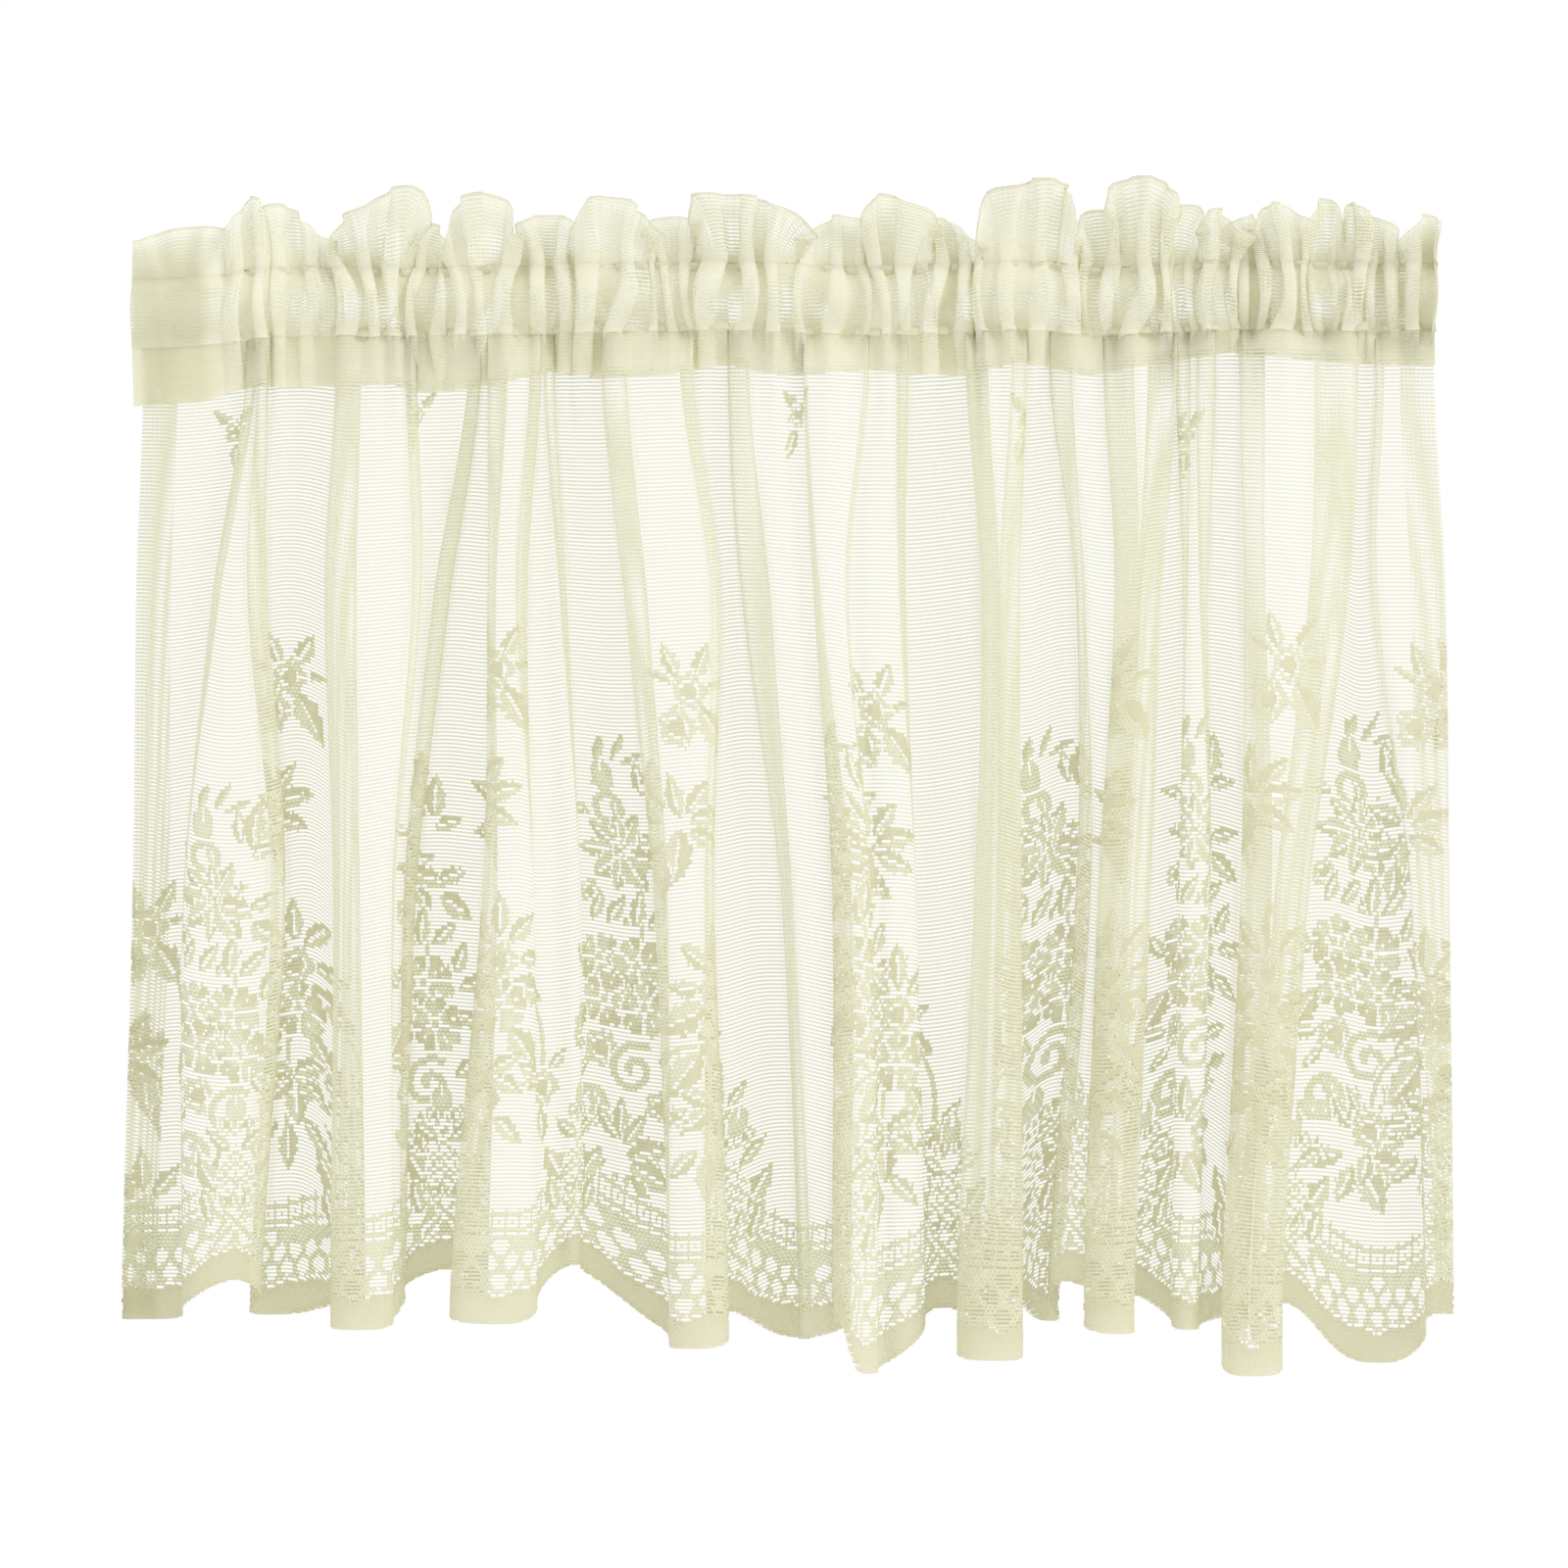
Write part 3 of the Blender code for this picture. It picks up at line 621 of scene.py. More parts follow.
class Panel:
    """The hanging lace: places on the flat cloth, and where they are in the folds."""

    def __init__(self):
        top = -POCKET_HEIGHT / 2 + SEAM_OVERLAP
        self.z = np.arange(LEVELS[-1] - LEVEL_MARGIN[0], top + LEVEL_MARGIN[1], LEVEL_PITCH)
        stations = np.moveaxis(panel_stations(self.z), 1, 2)
        hem = panel_stations(np.array(LEVELS[-1]))
        chord = np.linalg.norm(np.diff(hem, axis=0), axis=-1)
        counts = [max(2, math.ceil(length / COLUMN_PITCH)) for length in chord]
        self.line = smooth_line(stations, counts)  # column, level, (x, y)
        self.share = shares_along(self.line)
        hem_shares = shares_along(hem)
        marks = []
        for point in HEM_POINTS:
            first, last = stretch_after(point.after)
            part = np.interp(point.x, hem[first : last + 1, 0], hem_shares[first : last + 1])
            marks.append((part, point.height))
        self.mark_shares, self.mark_heights = np.array(marks).T
        self.mark_numbers = 0.5 + 0.5 * np.arange(len(marks))
        column_shares = self.at_height(self.share, np.full(len(self.line), LEVELS[-1]))
        self.foot = self.hem_at(column_shares)
        self.rise = self.scallop_rise(self.number_at(column_shares)) * SCALLOP_DEPTH
        x_top = self.at_height(self.line[..., 0], np.full(len(self.line), top))
        self.top = top - seam_sag(x_top)
        self.row_bend = waves(ROW_BENDS, column_shares * FLAT_WIDTH)

    def number_at(self, share):
        """How many scallops lie to the left: a half at each foot, and a whole number at a notch."""
        inside = np.interp(share, self.mark_shares, self.mark_numbers)
        before = np.minimum(share - self.mark_shares[0], 0)
        after = np.maximum(share - self.mark_shares[-1], 0)
        return inside + (before + after) * FLAT_WIDTH / SCALLOP_PITCH

    def scallop_rise(self, number):
        return ((1 + np.cos(2 * np.pi * number)) / 2) ** NOTCH_SHARPNESS

    def hem_at(self, share):
        """The height of the scalloped edge."""
        feet, notches = self.mark_heights[::2], self.mark_heights[1::2]
        number = np.interp(share, self.mark_shares, self.mark_numbers)
        foot = feet[np.clip(np.round(number - 0.5).astype(int), 0, len(feet) - 1)]
        notch = notches[np.clip(np.round(number - 1).astype(int), 0, len(notches) - 1)]
        return foot + (notch - foot) * self.scallop_rise(number)

    def at_height(self, values, z):
        """Values given for each column and level, at one height for each column."""
        level = np.clip((z - self.z[0]) / LEVEL_PITCH, 0, len(self.z) - 1.001)
        low = level.astype(int)
        part = level - low
        column = np.arange(len(values))
        return values[column, low] * (1 - part) + values[column, low + 1] * part

    def flat_place(self, x, z):
        """The place on the flat lace that is seen at a place on the hanging lace."""
        level = round((z - self.z[0]) / LEVEL_PITCH)
        side = self.line[:, level, 0] - x
        crossings = np.flatnonzero(side[:-1] * side[1:] <= 0)
        column = crossings[np.argmin(self.line[crossings, level, 1])]
        drop = (self.top[column] - z) / (self.top[column] - self.foot[column])
        return self.share[column, level] * FLAT_WIDTH, PANEL_DROP * (1 - drop)

    def row(self, v):
        """The cloth's u, x, y and z in each column, at a height v on the flat lace."""
        drop = np.minimum((PANEL_DROP - v) / (PANEL_DROP - self.rise), 1.0)
        return self.row_at_drop(drop)[1:]

    def row_at_drop(self, drop):
        """The cloth's v, u, x, y and z in each column, at a share of its way down."""
        z = self.top + (self.foot - self.top) * drop
        z = z + self.row_bend * np.sin(np.pi * np.clip(drop, 0, 1))
        v = PANEL_DROP + (self.rise - PANEL_DROP) * drop
        u = self.at_height(self.share, z) * FLAT_WIDTH
        x = self.at_height(self.line[..., 0], z)
        held, fade = seam_hold(self.top - z)
        base, fold = (np.interp(x, self.seam_x, d) for d in (self.seam_base, self.seam_fold))
        y = self.at_height(self.line[..., 1], z) * (1 - held) + base * held + fold * fade
        return v, u, x, y, z

    def join(self, heading):
        """Gathers the top of the panel into the folds of the heading."""
        self.seam_x, self.seam_base = heading.base_x, heading.base_y
        self.seam_fold = heading.folds(-GATHER_LEAN)[1]


class Chart:
    """Which stitches of the flat lace are worked, and how closely."""

    def __init__(self, width, height):
        self.u = (np.arange(round(width / WALE)) + 0.5) * WALE
        self.v = (np.arange(round(height / COURSE)) + 0.5) * COURSE
        self.work = np.zeros((len(self.v), len(self.u)), np.int8)

    def paint(self, u, v, angle, reach, shape, *sizes):
        """Works a shape over what is there, with an open edge round it."""
        columns = slice(*np.searchsorted(self.u, (u - reach, u + reach)))
        rows = slice(*np.searchsorted(self.v, (v - reach, v + reach)))
        du = self.u[columns][None, :] - u
        dv = self.v[rows][:, None] - v
        cos, sin = math.cos(math.radians(angle)), math.sin(math.radians(angle))
        margin, work = shape(du * cos + dv * sin, dv * cos - du * sin, *sizes)
        part = self.work[rows, columns]
        part[margin > -OUTLINE] = OPEN
        part[margin > 0] = work[margin > 0]

    def worked_share(self, u, v):
        """From 1 well inside the worked cloth to 0 outside it."""
        share = 0
        for across in (-WORKED_REACH, 0, WORKED_REACH):
            for up in (-WORKED_REACH, 0, WORKED_REACH):
                column = np.clip(((u + across) / WALE).astype(int), 0, len(self.u) - 1)
                row = np.clip(((v + up) / COURSE).astype(int), 0, len(self.v) - 1)
                share = share + (self.work[row, column] != OPEN) / 9
        return np.clip((share - WORKED_LEAST) / WORKED_SOFTNESS, 0, 1)


# Each shape says of places along and across it how far inside it they lie, and how they are worked.


def along_middle(along, across, length, half):
    """How far inside a shape of half a width and of a length, along its middle line."""
    return np.where((along > 0) & (along < length), half - np.abs(across), OUTSIDE)


def leaf(along, across, length, width):
    """A pointed leaf from its stalk on, with teeth, worked closer on one half."""
    t = np.clip(along / length, 0, 1)
    teeth = TOOTH_TOP - TOOTH * (LEAF_TEETH * t % 1)
    half = width / 2 * np.sin(np.pi * t**LEAF_HEEL) * teeth
    vein = (np.abs(across) < VEIN) & (t > VEIN_ENDS[0]) & (t < VEIN_ENDS[1])
    vein &= width > VEINED_WIDTH
    work = np.where(across > 0, SOLID, DOTTED)
    return along_middle(along, across, length, half), np.where(vein, OPEN, work)


def rose(along, across, radius):
    """A small rose: a wavy disc of five petals with a broken ring and slits in it."""
    petals, wavy, heart, slit, slit_start = 5, 0.12, 0.45, 0.16, 0.6
    r, turn = np.hypot(along, across) / radius, np.arctan2(across, along)
    edge = 1 - wavy + wavy * np.cos(petals * turn)
    ring = (np.abs(r - heart) < VEIN / radius) & (np.cos(3 * turn) > -0.6)
    slits = (np.abs(np.sin(petals / 2 * turn)) < slit) & (r > slit_start)
    work = np.where(r < heart, SOLID, DOTTED)
    return radius * (edge - r), np.where(ring | slits, OPEN, work)


def blossom(along, across, radius):
    """An open flower: five uneven petals, notched at their tips, round an open star."""
    petals, least, heart, star_start, star_end = 5, 0.7, 0.45, 0.13, 0.2
    r, turn = np.hypot(along, across) / radius, np.arctan2(across, along)
    lobe = np.abs(np.cos(petals / 2 * turn))
    notch = 0.1 * (lobe > 0.97)
    edge = least + 0.2 * lobe**0.5 + 0.1 * np.cos(turn + 1) - notch
    star = (r > star_start) & (r < star_end + 0.22 * (1 - lobe))
    gaps = (lobe < 0.2) & (r > 0.35)
    veins = (np.abs(np.sin(petals * turn + 0.5)) < 0.16) & (r > 0.48) & (r < 0.72)
    work = np.where((np.sin(2 * turn + 0.8) > 0) & (r > heart), SOLID, DOTTED)
    return radius * (edge - r), np.where(star | gaps | veins, OPEN, work)


def lattice(along, across, length):
    """A trellis that narrows upwards, with open lines across it."""
    foot, narrowing = 0.46, 0.5
    half = foot * length * (1 - narrowing * along / length)
    slants = [np.abs((along + side * across) / LATTICE_PITCH % 1 - 0.5) for side in (1, -1)]
    work = np.where(np.minimum(*slants) < LATTICE_LINE, OPEN, DOTTED)
    return along_middle(along, across, length, half), work


def bud(along, across, length):
    """A rounded box that narrows to its tip, with a slit there."""
    width, tip, heel, slit_start = 0.36, 0.25, 0.4, 0.55
    t = np.clip(along / length, 0, 1)
    half = width * length * np.minimum(1, 2.4 * (1 - t) + tip) * np.minimum(1, 5 * t + heel)
    slit = (np.abs(across) < VEIN) & (t > slit_start)
    return along_middle(along, across, length, half), np.where(slit, OPEN, DOTTED)


def stroke(along, across, width, points):
    """A line of even width through points about the middle of the shape."""
    distance = np.min([np.hypot(along - x, across - y) for x, y in points], axis=0)
    return width / 2 - distance, np.full(distance.shape, DOTTED)


def spiral(along, across, size, form):
    """A line that runs in from its outer end towards its middle."""
    t = np.linspace(0, 1, SPIRAL_POINTS)
    r, turn = form.radius * size * (1 - form.close * t), 2 * np.pi * form.turns * t
    return stroke(along, across, form.width * size, zip(r * np.cos(turn), r * np.sin(turn)))


SHAPES = {"rose": rose, "blossom": blossom, "lattice": lattice, "bud": bud}


def paint_motif(chart, motif, u, lift):
    size = MOTIF_SCALE * motif.size
    place, reach = (u + motif.x, motif.v + lift), MOTIF_REACH * size + MOTIF_MARGIN
    if motif.kind in LEAF_WIDTHS:
        width = LEAF_WIDTHS[motif.kind] * size
        chart.paint(*place, motif.angle, reach, leaf, size, width)
    elif motif.kind in SPIRALS:
        chart.paint(*place, motif.angle, reach, spiral, size, SPIRALS[motif.kind])
    elif motif.kind == "maple":
        for turn, share in MAPLE_LOBES:
            length = size * share
            chart.paint(*place, motif.angle + turn, reach, leaf, length, MAPLE_WIDTH * length)
    else:
        chart.paint(*place, motif.angle, reach, SHAPES[motif.kind], size)


def paint_stem(chart, stem, u, lift):
    start, bend, end = (np.array(place) for place in (stem.start, stem.bend, stem.end))
    middle = (start + end) / 2
    t = np.linspace(0, 1, STEM_POINTS)[:, None]
    points = (1 - t) ** 2 * start + 2 * t * (1 - t) * bend + t**2 * end - middle
    reach = np.linalg.norm(points, axis=1).max() + STEM_MARGIN
    chart.paint(u + middle[0], middle[1] + lift, 0, reach, stroke, stem.width, points)


def paint_column(chart, items, u, lift):
    """Works a column's stems and motifs, in their order, at u and lifted by so much."""
    for item in items:
        paint = paint_stem if isinstance(item, Stem) else paint_motif
        paint(chart, item, u, lift)


def paint_border(chart, panel):
    """Works the scallops: a solid edge, rows of eyelets, a swag and a crest at each notch."""
    u, v = np.meshgrid(chart.u, chart.v)
    number = panel.number_at(u / FLAT_WIDTH)
    a = np.abs(number - np.floor(number) - 0.5) * SCALLOP_PITCH
    edge = panel.scallop_rise(number) * SCALLOP_DEPTH
    band, foot, rise = (value_at(points, a) for points in (BAND_TOP, SWAG_FOOT, SWAG_RISE))
    stitch = np.floor(u / WALE)

    border = np.where((v > band) & (v < foot), DOTTED, OPEN)
    for row in range(EYELET_ROWS):
        height = EYELET_FIRST + EYELET_RISE * row
        shift = row % 2 / 2  # every other row is staggered
        middle = (np.floor(a / EYELET_PITCH + 0.5 - shift) + shift) * EYELET_PITCH
        side, up = (a - middle) / (EYELET_WIDTH / 2), (v - band - height) / (EYELET_HEIGHT / 2)
        room = foot - band > height + EYELET_HEIGHT / 2
        border[(side**2 + np.abs(up) ** EYELET_POINT < 1) & room] = OPEN
    rung = np.floor(len(SWAG_RUNGS) * (v - foot) / rise)
    for i, pitch in enumerate(SWAG_RUNGS):
        border = np.where(rung == i, np.where(stitch % pitch == 0, DOTTED, OPEN), border)
    border[(v > band) & (v < band + COURSE) & (stitch % EDGE_JOINS != 0)] = OPEN
    border[v < band] = SOLID
    border[v < edge] = OPEN
    chart.work[border > OPEN] = border[border > OPEN]
    chart.work[(v < foot + rise) & (border == OPEN)] = OPEN
    for share in panel.mark_shares[1::2]:
        paint_column(chart, CREST, share * FLAT_WIDTH, 0)


def lace_chart(panel):
    """The whole flat lace: each column's stems, then its flowers and leaves, then the border."""
    chart = Chart(FLAT_WIDTH, PANEL_DROP)
    for column in COLUMNS:
        u, v = panel.flat_place(column.x, column.z)
        paint_column(chart, column.chart, u, v - HEART)
    paint_border(chart, panel)
    return chart


# Painted shade: the thread is drawn lighter where the cloth stands nearer the front and further
# right, darker where it lies back
def depth_tone(x, y):
    return PAINTED_SHADING_MIDDLE - y / PAINTED_SHADING_DEPTH + x / PAINTED_SHADING_WIDTH


def roll_shares(x, z):
    """Where a fold lays three layers together, and where it turns at its edges, from 0 to 1."""
    share, edge = np.zeros(np.shape(x)), np.zeros(np.shape(x))
    for fold in FOLDS:
        half = at_level(fold.width, z) / 2
        depth = half - np.abs(x - at_level(fold.middle, z))
        size = np.clip(half / ROLL_LEAST, 0, 1)
        share = np.maximum(share, np.clip(depth / ROLL_EDGE + 1, 0, 1) * size)
        edge = np.maximum(edge, np.exp(-((depth / EDGE_WIDTH) ** 2)) * size)
    return share, edge


# Painted light and shade: lighter on a fold's three layers and darker on the line where it turns,
# over the painted shade by depth
def cloth_tone(x, y, z):
    share, edge = roll_shares(x, z)
    return depth_tone(x, y) + ROLL_PAINTED_LIGHT * (share - ROLL_MIDDLE) - EDGE_PAINTED_SHADE * edge


def outward(line):
    """The direction across each place of a line of cloth, towards the front."""
    along = np.gradient(line, axis=0)
    out = np.stack([along[:, 1], -along[:, 0]], -1)
    return out / (np.linalg.norm(out, axis=-1, keepdims=True) + 1e-9)


def link(thing):
    bpy.context.scene.collection.objects.link(thing)
    return thing


def mesh_object(name, points, faces, uvs, material, tone=None, cover=0.0, worked=0.0):
    """A smooth mesh of quads. Points and uvs, one for each point, are in millimetres. Cover is how
    much of the openings is filled by fibres or by a layer that isn't modelled, and worked is how
    much of the net gives way to the worked stitches there."""
    points = np.asarray(points)
    mesh = bpy.data.meshes.new(name)
    mesh.from_pydata(points * MM, [], faces)
    layer = mesh.uv_layers.new(name="flat")
    corners = np.empty(len(mesh.loops), np.int32)
    mesh.loops.foreach_get("vertex_index", corners)
    layer.data.foreach_set("uv", (np.asarray(uvs)[corners] * MM).astype(np.float32).ravel())
    # Painted light and shade: unless given, the cloth is drawn lighter nearer the front and towards
    # the right
    tone = np.clip(depth_tone(*points.T[:2]) if tone is None else tone, 0, 1)
    for attribute, values in (("tone", tone), ("cover", cover), ("worked", worked)):
        values = np.broadcast_to(np.ravel(values), len(points)).astype(np.float32)
        mesh.attributes.new(attribute, "FLOAT", "POINT").data.foreach_set("value", values)
    mesh.shade_smooth()
    mesh.materials.append(material)
    return link(bpy.data.objects.new(name, mesh))


def grid_object(name, points, uvs, material, **looks):
    """A sheet from a grid of points, rows by columns."""
    index = np.arange(points[..., 0].size).reshape(points.shape[:2])
    faces = np.stack([index[1:, :-1], index[1:, 1:], index[:-1, 1:], index[:-1, :-1]], axis=-1)
    points, uvs, faces = points.reshape(-1, 3), uvs.reshape(-1, 2), faces.reshape(-1, 4).tolist()
    return mesh_object(name, points, faces, uvs, material, **looks)


def make_sheet(panel, chart, material):
    """The net itself, from the lower seam to the scalloped edge."""
    rows = [panel.row_at_drop(i / SHEET_ROWS) for i in range(SHEET_ROWS + 1)]
    v, u, x, y, z = np.moveaxis(np.array(rows), 1, 0)
    band = BAND_COVER * np.clip((z - value_at(TURNED_EDGE, x)) / LEVEL_PITCH, 0, 1)
    fold = np.interp(x, panel.seam_x, panel.seam_fold) / GATHER_DEPTH
    # Painted light where the turned band lies behind the net, painted shade where its small folds
    # lie back
    tone = cloth_tone(x, y, z) + (BAND_PAINTED_LIGHT - BAND_FOLD_PAINTED_SHADE * fold) * band
    cover = np.maximum(band, EDGE_COVER * roll_shares(x, z)[1])
    points, uvs, worked = np.stack([x, y, z], -1), np.stack([u, v], -1), chart.worked_share(u, v)
    return grid_object("lace_sheet", points, uvs, material, tone=tone, cover=cover, worked=worked)


def work_strips(work):
    """The patches of a row of the chart: their first stitch, the one after them and their work."""
    changes = np.flatnonzero(np.diff(np.concatenate([[0], work, [0]])))
    strips = []
    for first, last in zip(changes, changes[1:]):
        if work[first] != OPEN:
            cuts = np.unique(np.append(np.arange(first, last, STITCHES_A_PATCH), last))
            strips += [(a, b, work[first]) for a, b in zip(cuts, cuts[1:])]
    return strips


def make_work(panel, chart, material, close):
    """The worked stitches, as patches a few stitches long on each row of the lace."""
    ends = np.arange(len(chart.u) + 1) * WALE
    points, uvs, faces, looks = [], [], [], []
    total = 0
    for j, work in enumerate(chart.work):
        strips = work_strips(work)
        if not strips:
            continue
        used = np.unique([side for a, b, _ in strips for side in (a, b)])
        place = {side: i for i, side in enumerate(used)}
        for v in (j * COURSE, (j + 1) * COURSE):
            u, x, y, z = panel.row(v)
            at = np.stack([np.interp(ends, u, line) for line in (x, y, z)], -1)
            at[:, :2] += outward(at[:, :2]) * WORK_LIFT
            points.append(at[used])
            uvs.append(np.stack([ends[used], np.full(len(used), v)], -1))
        for a, b, kind in strips:
            low, high = total + place[a], total + place[b]
            faces.append((low, high, high + len(used), low + len(used)))
            looks.append(kind == SOLID)
        total += 2 * len(used)
    # Painted light and shade on the worked stitches, as on the net
    points, tone = np.concatenate(points), cloth_tone(*np.concatenate(points).T)
    piece = mesh_object("lace_work", points, faces, np.concatenate(uvs), material, tone)
    piece.data.materials.append(close)
    piece.data.polygons.foreach_set("material_index", np.array(looks, np.int32))
    return piece


def loop_height(loop, share):
    shoulder = FLAT_SHOULDER if loop is LOOPS[0] else LOOP_SHOULDER
    return loop.crown - shoulder * share**2 + loop.lean * share


def loop_base(loop):
    return math.copysign(LOOP_BASE_DEPTH, loop.depth)


def frill_stations():
    """The frill's stations, as (x at the seam, y there, x on top, y on top, z on top)."""
    first, last = LOOPS[0], LOOPS[-1]
    start_height = loop_height(first, -END_LOOP_DROP)
    stations = [(first.left, loop_base(first), first.left, first.depth, start_height)]
    for loop, after in zip(LOOPS, LOOPS[1:] + (None,)):
        middle, half = (loop.left + loop.right) / 2, (loop.right - loop.left) / 2
        stations += [
            (
                middle + LOOP_NECK * half * share,
                loop_base(loop),
                middle + half * share,
                loop.depth * (1 - LOOP_ROUND * share**2),
                loop_height(loop, share),
            )
            for share in LOOP_SHARES
        ]
        if after is None:
            break
        base = (loop.right + after.left) / 2
        reach = TURN_REACH * (after.depth - loop.depth)
        dip = min(loop_height(loop, 1.0), loop_height(after, -1.0)) - FLANK_DIP
        flanks = [
            (
                base - side * FLANK_REACH,
                FLANK_BASE_SHARE * loop_base(near),
                edge + side * FLANK_REACH,
                near.depth + side * reach,
                dip + FLANK_RISE,
            )
            for side, near, edge in ((1, loop, loop.right), (-1, after, after.left))
        ]
        middle = (base, 0.0, base, (loop.depth + after.depth) / 2, dip)
        stations += [flanks[0], middle, flanks[1]]
    end_height = loop_height(last, 1.0)
    end = (last.right - END_TUCK, loop_base(last), last.right, last.depth, end_height)
    return np.array(stations + [end])


class Heading:
    """The gathered heading: the frill's loops on top of the small folds that the seams hold."""

    def __init__(self):
        stations = frill_stations()
        chord = np.linalg.norm(np.diff(stations[:, 2:4], axis=0), axis=-1)
        counts = [max(2, math.ceil(length / HEADING_COLUMN_PITCH)) for length in chord]
        line = smooth_line(stations, counts)
        self.u = shares_along(line[:, 2:4]) * FLAT_WIDTH
        self.base_x, self.base_y, self.top_x, self.top_y, self.top_z = line.T
        self.flat_end = np.clip((self.base_x - GATHER_START) / GATHER_REACH, GATHER_LEAST, 1.0)
        self.sag = seam_sag(self.base_x) + self.wave(SEAM_WAVE)
        ends = np.maximum(CLOSE_ENDS[0] - self.base_x, self.base_x - CLOSE_ENDS[1])
        self.side_hem = np.clip(ends / HEM_FADE + 0.5, 0, 1)
        self.row_drift = waves(ROW_DRIFTS, self.u)

    def wave(self, shape):
        """A wave of the gathered cloth, which dies out where the heading lies flat."""
        return wave(shape, self.u) * self.flat_end

    def folds(self, shift):
        """How far the small folds carry the cloth along x and y. The cloth runs back where it
        crosses from the front of a fold to the back."""
        drift = sum(wave(shape, self.u, shift) for shape in GATHER_DRIFTS)
        turn = 2 * np.pi * self.u / GATHER_PITCH + drift
        size = (1 + wave(GATHER_UNEVEN, self.u, shift)) * self.flat_end
        return -GATHER_OVERLAP * size * np.sin(2 * turn), GATHER_DEPTH * size * np.sin(turn)

    def slack(self, height, shift):
        """Where the cloth between its gathers is slack, from 0 to 1."""
        up = wave(SLACK_UP, height, wave(SLACK_WANDER, self.u) + shift)
        share = wave(SLACK_ALONG, self.u, shift) + up - SLACK_LEAST
        return np.clip(share / SLACK_SOFTNESS, 0, 1)

    def closeness(self, height):
        """How close the seams hold the cloth, from 0 to 1, at a height over the lower one."""
        away = np.minimum(height, np.abs(height - POCKET_HEIGHT))
        return np.exp(-((away / (SEAM_REACH * (1 + wave(SEAM_UNEVEN, self.u)))) ** 2))

    def cover(self, height):
        """How much of the openings the layers of gathers cover, away from the seams."""
        return POCKET_COVER + PATCH_COVER * self.slack(height, PATCH_SHIFT) * self.flat_end

    def grid(self, name, rows, material):
        """A sheet from rows of x, y, z, the height along the flat cloth, the painted light and
        shade and the cover.
        """
        rows = np.array([np.broadcast_arrays(*row) for row in rows])
        x, y, z, v, tone, cover = np.moveaxis(rows, 1, 0)
        v = PANEL_DROP + v + self.row_drift
        # Painted shade and extra cover where the side hems double the cloth over
        tone, cover = tone - HEM_PAINTED_SHADE * self.side_hem, cover + HEM_COVER * self.side_hem
        points, uvs = np.stack([x, y, z], -1), np.stack([np.broadcast_to(self.u, v.shape), v], -1)
        return grid_object(name, points, uvs, material, tone=tone, cover=cover)

    def make_pocket(self, material):
        """The gathered sleeve, from the lower seam up the front and down the back."""
        rows = []
        for turn in np.linspace(0, 2, 2 * POCKET_ROWS + 1):
            side, shift = (-1, 0.0) if turn <= 1 else (1, BACK_SHIFT)
            share = -math.cos(math.pi * turn)
            middle = 1 - share**2  # 1 halfway up
            fold_x, fold_y = self.folds(GATHER_LEAN * share + shift)
            ease = 1 - POCKET_EASE * middle
            x = self.base_x + fold_x * ease + self.wave(POCKET_SWAY) * middle
            y = side * POCKET_HALF_DEPTH * max(middle**POCKET_FULLNESS, SEAM_FULLNESS)
            height = POCKET_HEIGHT / 2 * (1 + share)
            v = height if side < 0 else 2 * POCKET_HEIGHT - height + COURSE / 2
            # Near the seams the cloth is closer and given painted light
            seam = self.closeness(height)
            # Painted light where a small fold or a front loop stands forward, painted shade where
            # it lies back
            lift = side * (fold_y / GATHER_DEPTH + LOOP_PAINTED_LIGHT * np.sign(self.base_y))
            tone = POCKET_PAINTED_SHADING + FOLD_PAINTED_LIGHT * lift + SEAM_PAINTED_LIGHT * seam
            cover = self.cover(height) + SEAM_COVER * seam
            cover -= WINDOW_OPENNESS * self.slack(height, WINDOW_SHIFT) * (1 - seam)
            z = share * POCKET_HEIGHT / 2 - self.sag
            rows.append((x, y + self.base_y * ease + fold_y * ease, z, v, tone, cover))
        return self.grid("pocket_cloth", rows, material)

    def make_turned_band(self, material):
        """The allowance turned under at the back of the lower seam, in small folds of its own."""
        top = SEAM_OVERLAP - POCKET_HEIGHT / 2 - self.sag
        drop = top - value_at(TURNED_EDGE, self.base_x)
        rows = []
        for share in np.linspace(0, 1, TURNED_ROWS):
            fold_x, fold_y = self.folds(TURNED_LEAN * share - GATHER_LEAN)
            held, fade = seam_hold(drop * share)
            y = TURNED_DEPTH * share + self.base_y * held + fold_y * fade
            # Painted shade where a small fold lies back, painted light where it stands forward
            tone = TURNED_PAINTED_SHADING * (1 - FOLD_PAINTED_LIGHT * fold_y / GATHER_DEPTH)
            cover = -TURNED_OPENNESS * self.slack(-drop * share, WINDOW_SHIFT)
            rows.append((self.base_x + fold_x, y, top - drop * share, drop * share, tone, cover))
        return self.grid("turned_band", rows, material)

